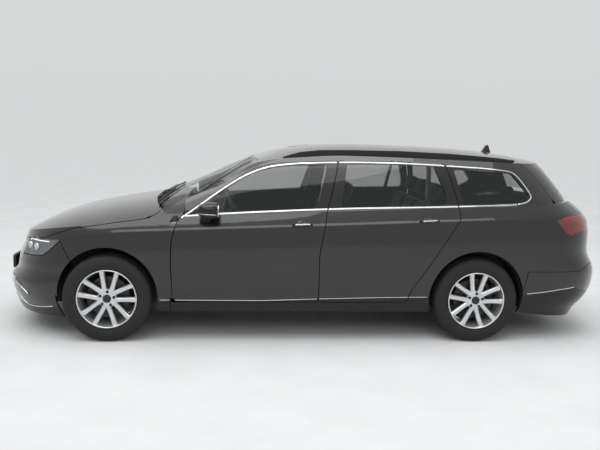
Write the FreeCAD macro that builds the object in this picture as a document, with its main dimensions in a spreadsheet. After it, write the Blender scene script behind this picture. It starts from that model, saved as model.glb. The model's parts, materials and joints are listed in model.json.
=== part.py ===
import FreeCAD, Part
import math
import os

import Sketcher

from FreeCAD import Vector

# Station wagon with hinged doors, hood and tailgate, and steered, rolling wheels.
# Frame: X forward, Y left, Z up, origin on the ground under the middle of the car.
os.makedirs("parts", exist_ok=True)
document = FreeCAD.newDocument("StationWagon")

# Driving dimensions in millimetres.
sizeRows = (
    ("overall_length", 4773.0),
    ("body_width", 1832.0),
    ("roof_height", 1477.0),
    ("mirror_span", 2083.0),
    ("wheelbase", 2786.0),
    ("front_overhang", 868.0),
    ("front_track", 1584.0),
    ("rear_track", 1568.0),
    ("belt_height", 989.0),
    ("crease_height", 861.0),
    ("underbody_height", 150.0),
    ("sill_height", 225.0),
    ("nose_corner_length", 900.0),
    ("tail_corner_length", 640.0),
    ("panel_gap", 5.0),
    ("seat_clearance", 0.3),
    ("overrun", 40.0),
    ("skin_wall", 26.0),
    ("quarter_wall", 150.0),
    ("door_wall", 120.0),
    ("door_depth", 480.0),
    ("door_slant", 0.28),
    ("frame_wall", 46.0),
    ("pillar_wall", 100.0),
    ("upper_pillar_wall", 90.0),
    ("hinge_inset", 27.0),
    ("hinge_setback", 30.0),
    ("rear_hinge_inset", 16.0),
    ("rear_hinge_setback", 60.0),
    ("roof_wall", 22.0),
    ("glass_setback", 3.0),
    ("glass_wall", 5.0),
    ("lamp_wall", 120.0),
    ("tailgate_wall", 60.0),
    ("flank_depth", 400.0),
    ("flank_draft", 100.0),
    ("grille_depth", 60.0),
    ("grille_bar", 14.0),
    ("windscreen_bow", 55.0),
    ("backlight_bow", 150.0),
    ("roof_crown", 62.0),
    ("hood_crown", 112.0),
    ("arch_radius", 370.0),
    ("arch_lift", 16.0),
    ("turning_radius", 385.0),
    ("turning_side", 830.0),
    ("liner_wall", 10.0),
    ("liner_low", 430.0),
    ("front_liner_inside", 470.0),
    ("rear_liner_inside", 620.0),
    ("structure_wall", 12.0),
    ("wing_high", 760.0),
    ("tread_width", 172.0),
    ("shoulder_drop", 34.0),
    ("stub_radius", 20.0),
    ("kingpin_inset", 80.0),
    ("knuckle_width", 70.0),
    ("knuckle_height", 260.0),
    ("knuckle_wall", 60.0),
    ("arm_width", 60.0),
    ("arm_wall", 24.0),
    ("beam_width", 90.0),
    ("beam_wall", 70.0),
    ("trailing_arm_length", 360.0),
    ("trailing_arm_side", 450.0),
    ("exhaust_radius", 26.0),
    ("exhaust_side", -160.0),
    ("silencer_length", 420.0),
    ("strap_wall", 24.0),
    ("silencer_width", 300.0),
    ("silencer_height", 130.0),
    ("seat_width", 520.0),
    ("seat_length", 500.0),
    ("seat_side", 370.0),
    ("cushion_height", 160.0),
    ("backrest_wall", 130.0),
    ("backrest_height", 600.0),
    ("seat_top", 540.0),
    ("seat_frame_width", 400.0),
    ("seat_frame_length", 380.0),
    ("recline", 17.0),
    ("headrest_width", 250.0),
    ("headrest_height", 170.0),
    ("headrest_wall", 90.0),
    ("steering_radius", 188.0),
    ("steering_tube", 15.0),
    ("steering_tilt", 25.0),
    ("column_length", 300.0),
    ("mirror_root", 58.0),
    ("mirror_foot", 110.0),
    ("mirror_length", 175.0),
    ("mirror_round", 34.0),
    ("buffer_radius", 20.0),
    ("cowl_drop", 32.0),
    ("cowl_wall", 12.0),
    ("rail_width", 32.0),
    ("fin_width", 36.0),
    ("engine_length", 560.0),
    ("engine_width", 760.0),
    ("engine_height", 520.0),
    ("engine_base", 300.0),
    ("engine_mount_width", 120.0),
    ("tyre_radius", 328.0),
    ("tyre_width", 215.0),
    ("rim_radius", 220.0),
    ("rim_width", 180.0),
    ("rim_wall", 6.0),
    ("spoke_depth", 22.0),
    ("spoke_width", 24.0),
    ("hub_face_radius", 74.0),
    ("hub_face_offset", 40.0),
    ("disc_radius", 156.0),
    ("disc_wall", 22.0),
)
sheet = document.addObject("Spreadsheet::Sheet", "Sizes")
for row, (alias, value) in enumerate(sizeRows, start=1):
    sheet.set("A%d" % row, alias)
    sheet.set("B%d" % row, str(value))
    sheet.setAlias("B%d" % row, alias)
document.recompute()


class Named(dict):
    __getattr__ = dict.__getitem__


size = Named((alias, float(sheet.get(alias))) for alias, value in sizeRows)

half_length = size.overall_length / 2
half_width = size.body_width / 2
front_axle = half_length - size.front_overhang
rear_axle = front_axle - size.wheelbase
rear_overhang = rear_axle + half_length
axle_height = size.tyre_radius
arch_height = axle_height + size.arch_lift
house_height = size.roof_height - size.belt_height


def station(share):
    """Length place: below 0 a share of the rear overhang, 0 to 1 of the wheelbase, past 1 of the front overhang."""
    if share < 0:
        return rear_axle + share * rear_overhang
    if share > 1:
        return front_axle + (share - 1) * size.front_overhang
    return rear_axle + share * size.wheelbase


def place(share, height_share):
    return (station(share), height_share * size.roof_height)


def smooth(table, value):
    """Monotone cubic through the rows of a table of pairs."""
    if value <= table[0][0]:
        return table[0][1]
    if value >= table[-1][0]:
        return table[-1][1]
    spans = [table[i + 1][0] - table[i][0] for i in range(len(table) - 1)]
    rises = [(table[i + 1][1] - table[i][1]) / spans[i] for i in range(len(spans))]
    slopes = [rises[0]]
    for i in range(1, len(spans)):
        if rises[i - 1] * rises[i] <= 0:
            slopes.append(0.0)
        else:
            slopes.append(2 * rises[i - 1] * rises[i] / (rises[i - 1] + rises[i]))
    slopes.append(rises[-1])
    i = max(k for k in range(len(spans)) if table[k][0] <= value)
    u = (value - table[i][0]) / spans[i]
    rise = table[i + 1][1] - table[i][1]
    first = spans[i] * slopes[i]
    second = spans[i] * slopes[i + 1]
    curve = (first + second - 2 * rise) * u ** 3 + (3 * rise - 2 * first - second) * u ** 2
    return table[i][1] + first * u + curve


# Flow of the side lines: they climb toward the tail by this slope at the crease and above it.
flow_share = 0.046
low_cap_share = 0.139

# Half width against level: level as a share of the crease height, width as a share of half the body width.
low_width_shares = (
    (0.139, 0.850), (0.256, 0.905), (0.340, 0.948), (0.440, 0.972),
    (0.546, 0.986), (0.697, 0.997), (0.836, 0.999), (0.930, 0.993), (1.000, 0.986),
)
# Level above the crease as a share of crease to belt, then the width share.
high_width_shares = ((0.0, 0.991), (0.50, 0.970), (1.0, 0.931), (1.60, 0.888), (2.20, 0.846))
# Nose and tail set-back, shares of their overhangs, against level as a share of the crease height.
nose_shares = (
    (0.139, 0.086), (0.256, 0.040), (0.348, 0.022), (0.50, 0.000), (0.56, 0.012),
    (0.62, 0.052), (0.70, 0.070), (0.79, 0.092), (0.84, 0.112), (0.93, 0.143),
    (1.00, 0.165), (1.074, 0.20), (1.149, 0.25), (1.33, 0.36),
)
tail_shares = (
    (0.139, 0.150), (0.20, 0.118), (0.288, 0.084), (0.323, 0.050), (0.359, 0.038), (0.40, 0.024), (0.44, 0.007),
    (0.524, 0.000), (0.59, 0.006), (0.635, 0.030), (0.69, 0.055), (0.78, 0.063), (0.88, 0.066), (0.974, 0.080),
    (1.0, 0.094), (1.046, 0.128), (1.085, 0.157), (1.149, 0.211), (1.24, 0.285), (1.33, 0.36),
)
nose_power = 2.7
tail_power = 3.2
barrel_share = 0.010

# Half width of the glasshouse: height above the belt as a share of belt to roof, share of half the body width.
house_width_shares = (
    (-0.12, 0.940), (0.0, 0.924), (0.205, 0.880), (0.41, 0.826), (0.615, 0.761),
    (0.738, 0.715), (0.82, 0.679), (0.90, 0.633), (1.03, 0.550),
)
# Taper of the glasshouse in plan against station.
house_plan_shares = (
    (-0.7, 0.945), (-0.39, 0.978), (-0.10, 0.992), (0.35, 1.0), (0.60, 1.0), (0.78, 0.995), (0.92, 0.985),
)
# Windscreen and tail glass lines on the centre plane: height share of the roof height, station.
windscreen_shares = (
    (0.55, 1.030), (0.645, 0.923), (0.684, 0.886), (0.733, 0.832), (0.782, 0.772), (0.840, 0.711),
    (0.873, 0.670), (0.915, 0.617), (0.948, 0.560), (1.04, 0.440),
)
backlight_shares = (
    (0.55, -0.860), (0.645, -0.875), (0.684, -0.850), (0.74, -0.795), (0.80, -0.735), (0.86, -0.672),
    (0.90, -0.625), (0.93, -0.585), (1.04, -0.440),
)
# Roof line on the centre plane: station, height share.
roof_shares = (
    (-1.0, 0.84), (-0.80, 0.885), (-0.62, 0.924), (-0.54, 0.938), (-0.39, 0.958), (-0.15, 0.979), (-0.03, 0.986),
    (0.10, 0.995), (0.28, 1.0), (0.36, 0.998), (0.41, 0.993), (0.47, 0.981), (0.53, 0.965),
    (0.563, 0.950), (0.596, 0.932), (0.66, 0.895), (0.72, 0.865),
    (0.80, 0.835), (1.0, 0.78),
)
# Share of the roof crown against station.
roof_crown_shares = ((-0.7, 0.55), (-0.2, 0.84), (0.3, 1.0), (0.45, 0.89), (0.62, 0.42), (0.7, 0.40))
# Hood line on the centre plane: station, height share.
hood_shares = (
    (0.76, 0.722), (0.84, 0.706), (0.886, 0.698), (0.922, 0.689), (0.958, 0.679), (0.993, 0.668), (1.094, 0.655),
    (1.21, 0.641), (1.325, 0.626), (1.44, 0.608), (1.555, 0.586), (1.67, 0.559), (1.785, 0.525),
    (1.85, 0.500), (1.90, 0.470), (1.935, 0.440), (1.97, 0.400),
)
roof_power = 2.2
hood_power = 3.0


def crease_line(x):
    return size.crease_height - flow_share * x


def belt_line(x):
    return size.belt_height - flow_share * x


def ellipse_share(share, power):
    return (1 - min(1.0, abs(share)) ** power) ** (1 / power)


def low_ends(level, inset):
    """Nose and tail places of the lower body at a level."""
    share = level / size.crease_height
    nose = half_length - smooth(nose_shares, share) * size.front_overhang
    tail = -half_length + smooth(tail_shares, share) * rear_overhang
    return nose - inset, tail + inset


def low_half_width(level, x, inset):
    share = level / size.crease_height
    if share <= 1:
        wide = smooth(low_width_shares, share)
    else:
        above = (level - size.crease_height) / (size.belt_height - size.crease_height)
        wide = smooth(high_width_shares, above)
    return wide * half_width * (1 - barrel_share * (2 * x / size.wheelbase) ** 2) - inset


def low_height(level, x):
    """Height of a flow line; the lowest line is level, those at the crease and above climb fully."""
    base = low_cap_share * size.crease_height
    share = min(1.0, (level - base) / (size.crease_height - base))
    return level - flow_share * x * share


corner_angles = (90, 80, 70, 60, 50, 40, 30, 20, 10)
side_steps = 5


def low_quarter(level, inset, seam, front):
    """Left half of a plan line of the lower body, from the seam up to, not on, the centre plane."""
    nose, tail = low_ends(level, inset)
    end = nose if front else tail
    corner = size.nose_corner_length if front else -size.tail_corner_length
    power = nose_power if front else tail_power
    start = end - corner
    points = []
    for step in range(side_steps):
        x = seam + (start - seam) * step / side_steps
        points.append(Vector(x, low_half_width(level, x, inset), low_height(level, x)))
    for angle in corner_angles:
        x = start + corner * math.cos(math.radians(angle)) ** (2 / power)
        y = low_half_width(level, x, inset) * math.sin(math.radians(angle)) ** (2 / power)
        points.append(Vector(x, y, low_height(level, x)))
    return points, Vector(end, 0, low_height(level, end))


def whole_loop(quarter, *arguments):
    """Closed plan line from the left seam round the nose, the right side and the tail."""
    front, nose = quarter(*arguments, True)
    rear, tail = quarter(*arguments, False)
    right_front = [Vector(p.x, -p.y, p.z) for p in reversed(front)]
    right_rear = [Vector(p.x, -p.y, p.z) for p in rear[1:]]
    return front + [nose] + right_front + right_rear + [tail] + list(reversed(rear[1:])) + [front[0]]


def shared_parameters(rows):
    """Spacing between neighbours, averaged over the rows, as running shares from 0 to 1."""
    steps = []
    for i in range(len(rows[0]) - 1):
        steps.append(sum(row[i].distanceToPoint(row[i + 1]) for row in rows))
    total = sum(steps)
    places = [0.0]
    for step in steps:
        places.append(places[-1] + step / total)
    places[-1] = 1.0
    return places


def spline_through(points, places):
    curve = Part.BSplineCurve()
    curve.interpolate(Points=points, Parameters=places)
    return curve


def woven_surface(rows):
    """Smooth surface through a grid of points: splines along the rows, then splines across their poles."""
    across = shared_parameters(rows)
    along = shared_parameters(list(zip(*rows)))
    row_curves = [spline_through(list(row), across) for row in rows]
    pole_rows = list(zip(*[curve.getPoles() for curve in row_curves]))
    column_curves = [spline_through(list(column), along) for column in pole_rows]
    poles = list(zip(*[curve.getPoles() for curve in column_curves]))
    surface = Part.BSplineSurface()
    surface.buildFromPolesMultsKnots(
        [list(row) for row in poles],
        column_curves[0].getMultiplicities(), row_curves[0].getMultiplicities(),
        column_curves[0].getKnots(), row_curves[0].getKnots(),
        False, False, column_curves[0].Degree, row_curves[0].Degree,
    )
    return surface


def stacked_solid(loops):
    """Solid inside closed plan lines stacked one over the other, with flat ends."""
    surface = woven_surface(loops)
    bottom, top, first, last = surface.bounds()
    faces = [surface.toShape()]
    for bound in (bottom, top):
        faces.append(Part.Face(Part.Wire(surface.uIso(bound).toShape())))
    shell = Part.Shell(faces)
    shell.sewShape()
    solid = Part.Solid(shell)
    if solid.Volume < 0:
        solid.reverse()
    return solid


low_level_shares = (
    0.139, 0.20, 0.256, 0.309, 0.348, 0.44, 0.50, 0.56, 0.62, 0.697, 0.79, 0.88, 0.96, 0.988,
    1.0, 1.02, 1.074, 1.149, 1.24, 1.33,
)


def low_body(inset):
    seam = station(0.425)
    levels = [share * size.crease_height for share in low_level_shares]
    return stacked_solid([whole_loop(low_quarter, level, inset, seam) for level in levels])


def line_crossing(table, rise, guess):
    """Place where a table line meets the tilted plane at this height above the belt line."""
    x = guess
    for turn in range(30):
        x = station(smooth(table, (belt_line(x) + rise) / size.roof_height))
    return x


def house_half_width(rise, x, inset):
    share = (x - rear_axle) / size.wheelbase
    wide = smooth(house_width_shares, rise / house_height)
    return wide * half_width * smooth(house_plan_shares, share) - inset


front_turns = (0.0, 0.2, 0.4, 0.58, 0.72, 0.83, 0.90)
rear_turns = (0.0, 0.2, 0.4, 0.55, 0.68, 0.78)
windscreen_power = 12
backlight_power = 6


def house_quarter(rise, inset, end_inset, seam, front):
    """Left half of a plan line of the glasshouse, from the seam up to, not on, the centre plane."""
    table = windscreen_shares if front else backlight_shares
    bow = size.windscreen_bow if front else -size.backlight_bow
    power = windscreen_power if front else backlight_power
    turns = front_turns if front else rear_turns
    inward = end_inset if front else -end_inset
    end = line_crossing(table, rise, 0.0) - inward
    corner_share = 0.5 ** (1 / power)
    pairs = [(turn, ellipse_share(turn, power)) for turn in turns]
    pairs.append((corner_share, corner_share))
    pairs += [(ellipse_share(turn, power), turn) for turn in reversed(turns)]
    points = []
    for along, across in pairs[:-1]:
        x = seam + (end - bow * across ** 2 - seam) * along
        y = house_half_width(rise, x, inset) * across
        points.append(Vector(x, y, belt_line(x) + rise))
    return points, Vector(end, 0, belt_line(end) + rise)


house_rise_shares = (-0.12, 0.0, 0.11, 0.205, 0.31, 0.41, 0.51, 0.615, 0.70, 0.77, 0.84, 0.90, 0.96, 1.03)


def house_body(inset, end_inset):
    seam = station(0.40)
    rises = [share * house_height for share in house_rise_shares]
    return stacked_solid([whole_loop(house_quarter, rise, inset, end_inset, seam) for rise in rises])


# Side view outlines: station, height share, corner radius as a share of the roof height.
front_door_shares = (
    (0.439, 0.211, 0.02), (0.828, 0.211, 0.03), (0.832, 0.406, 0.6), (0.830, 0.528, 0.2), (0.818, 0.607, 0.13),
    (0.809, 0.632, 0.004), (0.604, 0.904, 0.575), (0.385, 0.921, 0.008), (0.423, 0.650, 0.34), (0.440, 0.467, 0.4),
)
rear_door_shares = (
    (0.198, 0.211, 0.02), (0.437, 0.211, 0.02), (0.438, 0.467, 0.4), (0.421, 0.650, 0.34), (0.383, 0.921, 0.008),
    (0.254, 0.928, 2.0), (0.088, 0.917, 0.008), (0.060, 0.718, 0.13), (0.057, 0.650, 0.07), (0.096, 0.535, 0.27),
    (0.182, 0.284, 0.10),
)
front_glass_shares = (
    (0.448, 0.684, 0.008), (0.760, 0.655, 0.008), (0.755, 0.697, 0.007), (0.603, 0.882, 0.55), (0.413, 0.905, 0.014),
)
rear_glass_shares = (
    (0.150, 0.706, 0.007), (0.381, 0.690, 0.008), (0.361, 0.907, 0.014), (0.254, 0.911, 2.0), (0.136, 0.907, 0.008),
)
vent_glass_shares = (
    (0.091, 0.711, 0.014), (0.140, 0.708, 0.007), (0.127, 0.907, 0.008), (0.118, 0.905, 0.014), (0.093, 0.765, 0.07),
)
quarter_glass_shares = (
    (-0.261, 0.716, 0.06), (0.045, 0.716, 0.010), (0.065, 0.892, 0.010), (-0.254, 0.876, 0.04), (-0.369, 0.764, 0.015),
)
hood_line_shares = (
    (0.856, 0.678), (0.869, 0.653), (0.889, 0.633), (0.913, 0.624), (0.983, 0.605), (1.290, 0.571),
    (1.428, 0.542), (1.555, 0.512), (1.626, 0.505), (1.791, 0.485), (1.923, 0.474), (2.073, 0.471),
)
lamp_shares = (
    (1.400, 0.510), (1.474, 0.466), (1.557, 0.429), (1.759, 0.414), (2.10, 0.410), (2.10, 0.471),
    (1.923, 0.474), (1.791, 0.482), (1.626, 0.502),
)
bumper_shares = (
    (1.301, 0.068), (2.10, 0.068), (2.10, 0.407), (1.759, 0.411), (1.555, 0.425), (1.474, 0.462),
    (1.395, 0.506), (1.301, 0.406),
)
tail_lamp_shares = (
    (-0.605, 0.584), (-0.534, 0.647), (-0.619, 0.667), (-0.708, 0.669), (-1.05, 0.669), (-1.05, 0.588),
    (-0.720, 0.586), (-0.641, 0.569),
)
rear_bumper_shares = (
    (-0.297, 0.152), (-0.333, 0.292), (-0.351, 0.379), (-0.739, 0.379), (-0.833, 0.406), (-1.05, 0.412),
    (-1.05, 0.10), (-0.80, 0.10),
)
# Front view outlines: share of half the body width, height share.
windscreen_front_shares = ((0.862, 0.60), (0.850, 0.692), (0.803, 0.786), (0.755, 0.849), (0.695, 0.917))
tailgate_rear_shares = (
    (0.0, 0.40), (0.66, 0.40), (0.70, 0.53), (0.765, 0.585), (0.765, 0.667), (0.80, 0.690), (0.79, 0.711),
    (0.655, 0.931), (0.640, 1.10), (0.0, 1.10),
)
# Seam between the tailgate and the rear pillar: station, half width and height shares.
flank_shares = (
    (-0.724, 0.803, 0.680), (-0.708, 0.793, 0.708), (-0.559, 0.771, 0.745), (-0.476, 0.729, 0.8125),
    (-0.376, 0.668, 0.909), (-0.351, 0.660, 0.922),
)
# Side view bounds of the windscreen: everything ahead of the pillar line.
windscreen_side_shares = (
    (0.840, 0.560), (0.819, 0.632), (0.618, 0.904), (0.590, 0.925), (0.540, 0.960), (0.540, 1.100), (1.400, 1.100),
    (1.400, 0.560),
)
rear_window_rear_shares = ((0.0, 0.712), (0.69, 0.712), (0.555, 0.880), (0.0, 0.892))

body_side_low_shares = (
    (0.833, 0.152), (0.833, 0.205), (0.790, 0.205), (0.790, 0.66), (-0.90, 0.74), (-0.90, 0.152),
)
body_side_high_shares = (
    (0.797, 0.55), (0.797, 1.1), (-0.75, 1.1), (-0.90, 0.55),
)
fender_shares = (
    (0.835, 0.152), (0.835, 0.406), (0.833, 0.530), (0.821, 0.610), (0.811, 0.636), (0.801, 0.64), (0.801, 0.76),
    (0.854, 0.76), (0.854, 0.679), (1.70, 0.679), (1.70, 0.40), (1.40, 0.152),
)
# Plan outlines: station, share of half the body width.
ditch_shares = ((0.75, 0.50), (0.60, 0.655), (0.45, 0.660), (0.0, 0.655), (-0.30, 0.640), (-0.50, 0.600))
hood_plan_shares = (
    (2.1, 1.0), (1.0, 1.0), (0.868, 0.90), (0.856, 0.85), (0.880, 0.60), (0.893, 0.30),
)
tail_lamp_share = 0.45
lamp_inside_share = 0.60
nose_face_share = 1.60
grille_front_shares = ((0.595, 0.385), (0.595, 0.466), (0.56, 0.470))
intake_front_shares = ((0.56, 0.165), (0.62, 0.285))
tail_split_share = 0.765
floor_shares = (
    (0.8378, 0.141), (0.190, 0.141), (0.170, 0.270), (0.083, 0.270), (0.058, 0.390), (-0.855, 0.390),
    (-0.855, 0.407), (0.065, 0.407), (0.090, 0.287), (0.183, 0.287), (0.203, 0.158), (0.8378, 0.158),
)
rail_shares = (
    (-0.300, 0.935), (-0.186, 0.930), (0.536, 0.930), (0.536, 0.937), (0.515, 0.950), (0.489, 0.964),
    (0.433, 0.9765), (0.348, 0.980), (0.208, 0.9805), (0.068, 0.972), (-0.044, 0.962), (-0.186, 0.954),
    (-0.300, 0.944),
)
fin_shares = ((-0.22, 0.95), (-0.30, 0.95), (-0.305, 0.972), (-0.285, 1.012), (-0.270, 1.010))
front_seat_share = 0.41
rear_seat_share = 0.145
dash_back_share = 0.70
dash_low_share = 0.45
dash_high_share = 0.635
steering_share = 0.665
steering_height_share = 0.63
mirror_share = 0.702
mirror_low_share = 0.634
mirror_high_share = 0.724
firewall_share = 0.838
firewall_top_share = 0.60
radiator_share = 1.66
buffer_share = 0.85
pillar_middle_share = 0.40
column_front_shares = (0.805, 0.833)
column_top_share = 0.64
column_middle_shares = ((0.395, 0.152), (0.452, 0.152), (0.452, 0.62), (0.440, 0.675), (0.385, 0.675), (0.395, 0.62))
upper_pillar_shares = ((0.385, 0.60), (0.440, 0.60), (0.402, 1.0), (0.360, 1.0))
tailgate_front_share = -0.330
cowl_share = 0.800
cowl_front_share = 0.925
cowl_width_share = 0.80
silencer_share = -0.45
bumper_lug_share = 0.72


def offset_outline(points, grow):
    """Closed outline moved outward by this much; points run anticlockwise."""
    count = len(points)
    moved = []
    for i in range(count):
        before = points[i - 1]
        here = points[i]
        after = points[(i + 1) % count]
        first = math.atan2(here[1] - before[1], here[0] - before[0])
        second = math.atan2(after[1] - here[1], after[0] - here[0])
        turn = (second - first + math.pi) % (2 * math.pi) - math.pi
        middle = first + turn / 2 - math.pi / 2
        reach = grow / math.cos(turn / 2)
        moved.append((here[0] + reach * math.cos(middle), here[1] + reach * math.sin(middle), turn))
    return moved


arc_chords = 5


def outline_wire(rows, grow, lift, chords=0):
    """Wire of straight edges and corner arcs, or chords of them; lift makes a space point of a flat one."""
    flat = [(row[0], row[1]) for row in rows]
    radii = [row[2] if len(row) > 2 else 0.0 for row in rows]
    area = sum(flat[i - 1][0] * flat[i][1] - flat[i][0] * flat[i - 1][1] for i in range(len(flat)))
    if area < 0:
        flat.reverse()
        radii.reverse()
    moved = offset_outline(flat, grow)
    edges = []
    ends = []
    for i in range(len(moved)):
        x, z, turn = moved[i]
        radius = max(0.0, radii[i] + (grow if turn > 0 else -grow)) if radii[i] else 0.0
        before = moved[i - 1]
        after = moved[(i + 1) % len(moved)]
        back = math.hypot(x - before[0], z - before[1])
        ahead = math.hypot(after[0] - x, after[1] - z)
        reach = min(radius * abs(math.tan(turn / 2)), 0.49 * back, 0.49 * ahead)
        start = (x + (before[0] - x) * reach / back, z + (before[1] - z) * reach / back)
        stop = (x + (after[0] - x) * reach / ahead, z + (after[1] - z) * reach / ahead)
        if reach > size.seat_clearance:
            chord_x = (start[0] + stop[0]) / 2 - x
            chord_z = (start[1] + stop[1]) / 2 - z
            depth = math.hypot(chord_x, chord_z)
            swing = reach / abs(math.tan(turn / 2))
            distance = swing / math.cos(turn / 2) - swing
            middle = (x + chord_x * distance / depth, z + chord_z * distance / depth)
            arc = Part.Arc(lift(*start), lift(*middle), lift(*stop)).toShape()
            if chords:
                edges += Part.makePolygon(arc.discretize(chords + 1)).Edges
            else:
                edges.append(arc)
        ends.append((start, stop))
    for i in range(len(ends)):
        begin = ends[i - 1][1]
        finish = ends[i][0]
        edges.append(Part.LineSegment(lift(*begin), lift(*finish)).toShape())
    return Part.Wire(Part.__sortEdges__(edges))


def side_rows(shares):
    rows = []
    for row in shares:
        corner = row[2] * size.roof_height if len(row) > 2 else 0.0
        rows.append((*place(row[0], row[1]), corner))
    return rows


outer_side = half_width + size.overrun


def side_prism(rows, grow=0.0, inner=0.0):
    """Side view outline carried inward from outside the left skin."""
    face = Part.Face(outline_wire(rows, grow, lambda x, z: Vector(x, outer_side, z)))
    return face.extrude(Vector(0, inner - outer_side, 0))


def skin_side(x, z):
    """Distance of the skin from the centre plane, at a place in the side view."""
    if z > belt_line(x):
        return house_half_width(z - belt_line(x), x, 0.0)
    base = low_cap_share * size.crease_height
    climb = min(1.0, (z - base) / (size.crease_height - base))
    return low_half_width(z + flow_share * x * climb, x, 0.0)


def slanted_prism(rows, grow, inner):
    """Prism of a door outline that moves forward as it goes in, and meets the skin on the outline."""
    slant = size.door_slant
    shifted = [(x - slant * (outer_side - skin_side(x, z)), z, corner) for x, z, corner in rows]
    face = Part.Face(outline_wire(shifted, grow, lambda x, z: Vector(x, outer_side, z), arc_chords))
    reach = outer_side - inner
    return face.extrude(Vector(reach * slant, -reach, 0))


def full_side_prism(rows, grow=0.0):
    face = Part.Face(outline_wire(rows, grow, lambda x, z: Vector(x, outer_side, z)))
    return face.extrude(Vector(0, -2 * outer_side, 0))


def front_prism(rows, back, front, grow=0.0):
    """Front view outline carried forward between two stations."""
    face = Part.Face(outline_wire(rows, grow, lambda y, z: Vector(back, y, z)))
    return face.extrude(Vector(front - back, 0, 0))


def plan_prism(points, low, high, grow=0.0):
    """Plan outline carried upward between two levels."""
    face = Part.Face(outline_wire(points, grow, lambda x, y: Vector(x, y, low)))
    return face.extrude(Vector(0, 0, high - low))


def box(x_low, y_low, z_low, x_high, y_high, z_high):
    return Part.makeBox(x_high - x_low, y_high - y_low, z_high - z_low, Vector(x_low, y_low, z_low))


def cross_cylinder(radius, x, z, y_low, y_high):
    """Cylinder across the car."""
    return Part.makeCylinder(radius, y_high - y_low, Vector(x, y_low, z), Vector(0, 1, 0))


def mirrored(shape):
    return shape.mirror(Vector(0, 0, 0), Vector(0, 1, 0))


def above_line(rows, lift=0.0):
    """Everything over a side view line across the whole car."""
    top = 2 * size.roof_height
    points = [(x, z + lift) for x, z in rows]
    points = points + [(points[-1][0], top), (points[0][0], top)]
    return full_side_prism(points)


def top_surface(shares_x, height_at):
    """Solid under a crowned top surface."""
    rows = []
    across_shares = (-1.08, -1.0, -0.92, -0.8, -0.65, -0.45, -0.22, 0.0, 0.22, 0.45, 0.65, 0.8, 0.92, 1.0, 1.08)
    for share in shares_x:
        x = station(share)
        rows.append([Vector(x, across * half_width, height_at(share, across)) for across in across_shares])
    return woven_surface(rows).toShape().extrude(Vector(0, 0, -2 * size.roof_height))


def hood_height(share, across):
    return smooth(hood_shares, share) * size.roof_height - size.hood_crown * abs(across) ** hood_power


def roof_height_at(share, across):
    crown = size.roof_crown * smooth(roof_crown_shares, share)
    edge_share = abs(across) / 0.633
    return smooth(roof_shares, share) * size.roof_height - crown * edge_share ** roof_power


hood_stations = (0.76, 0.84, 0.9, 0.96, 1.03, 1.15, 1.27, 1.39, 1.50, 1.60, 1.69, 1.77, 1.84, 1.90, 1.95, 2.02)
roof_stations = (-1.0, -0.86, -0.72, -0.62, -0.5, -0.38, -0.24, -0.1, 0.02, 0.12, 0.22, 0.32, 0.41, 0.49, 0.56, 0.62, 0.68, 0.76, 0.88, 1.0)

half_car = box(-half_length - size.overrun, 0, 0, half_length + size.overrun, outer_side, 2 * size.roof_height)
belt_rows = [(x, belt_line(x)) for x in (-half_length - size.overrun, half_length + size.overrun)]
above_belt = above_line(belt_rows)

# Lower body with its top cut to the hood ahead of the windscreen and to the belt behind it.
low_outer = low_body(0.0)
deck = top_surface(hood_stations, hood_height)
roof_solid = top_surface(roof_stations, roof_height_at)


def dropped(solid, depth):
    copy = solid.copy()
    copy.translate(Vector(0, 0, -depth))
    return copy


cowl_station = station(cowl_share)
nose_space = box(cowl_station, -outer_side, 0, half_length + size.overrun, outer_side, 2 * size.roof_height)
nose_outer = low_outer.common(nose_space).common(deck)
nose_inner = low_body(size.skin_wall).common(nose_space).common(dropped(deck, size.skin_wall))
nose_shell = nose_outer.cut(nose_inner)

cabin_outer = low_outer.cut(above_belt)
house_outer = house_body(0.0, 0.0).common(above_belt).common(roof_solid)
house_inner = house_body(size.frame_wall, size.skin_wall).common(dropped(roof_solid, size.roof_wall))
house_shell = house_outer.cut(house_inner)


pieces = []


def keep(label, shape, where=FreeCAD.Placement()):
    """A sub-part with its own label, from a finished shape."""
    piece = document.addObject("Part::Feature", label)
    piece.Label = label
    piece.Shape = shape
    piece.Placement = where
    pieces.append(piece)
    return piece


def keep_pair(label, left_shape):
    keep(label + "_left", left_shape)
    keep(label + "_right", mirrored(left_shape))


lamp_end = tail_lamp_share * half_width
tail_split = tail_split_share * half_width
gap = size.panel_gap
seat = size.seat_clearance

front_door_rows = side_rows(front_door_shares)
rear_door_rows = side_rows(rear_door_shares)
front_glass_rows = side_rows(front_glass_shares)
rear_glass_rows = side_rows(rear_glass_shares)
vent_glass_rows = side_rows(vent_glass_shares)
quarter_glass_rows = side_rows(quarter_glass_shares)
lamp_rows = side_rows(lamp_shares)
bumper_rows = side_rows(bumper_shares)
tail_lamp_rows = side_rows(tail_lamp_shares)
rear_bumper_rows = side_rows(rear_bumper_shares)
hood_line = [place(*row) for row in hood_line_shares]
floor_rows = [place(*row) for row in floor_shares]
floor_under = floor_rows[0][1]
floor_top = floor_rows[-1][1]
pan_under = floor_rows[2][1]
load_under = floor_rows[4][1]
pan_top = floor_rows[9][1]


def front_rows(shares):
    return [(row[0] * half_width, row[1] * size.roof_height) for row in shares]


def both_sides(rows):
    """Left half of a front view outline closed with its mirror image."""
    return rows + [(-y, z) for y, z in reversed(rows) if y > 0]


# Doors: the lower part is a box as thick as the whole door, the frame round the window is thinner.
door_low_inner = low_body(size.door_wall)
door_low_ring = cabin_outer.cut(door_low_inner)
door_inside = half_width - size.door_depth
door_frame_ring = house_outer.cut(house_body(size.frame_wall, -size.door_wall))


def door(rows, window_rows):
    outline = slanted_prism(rows, 0.0, door_inside)
    low = door_low_ring.common(outline)
    frame = door_frame_ring.common(outline)
    for window in window_rows:
        frame = frame.cut(side_prism(window, seat))
    return low.fuse(frame).removeSplitter()


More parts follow.
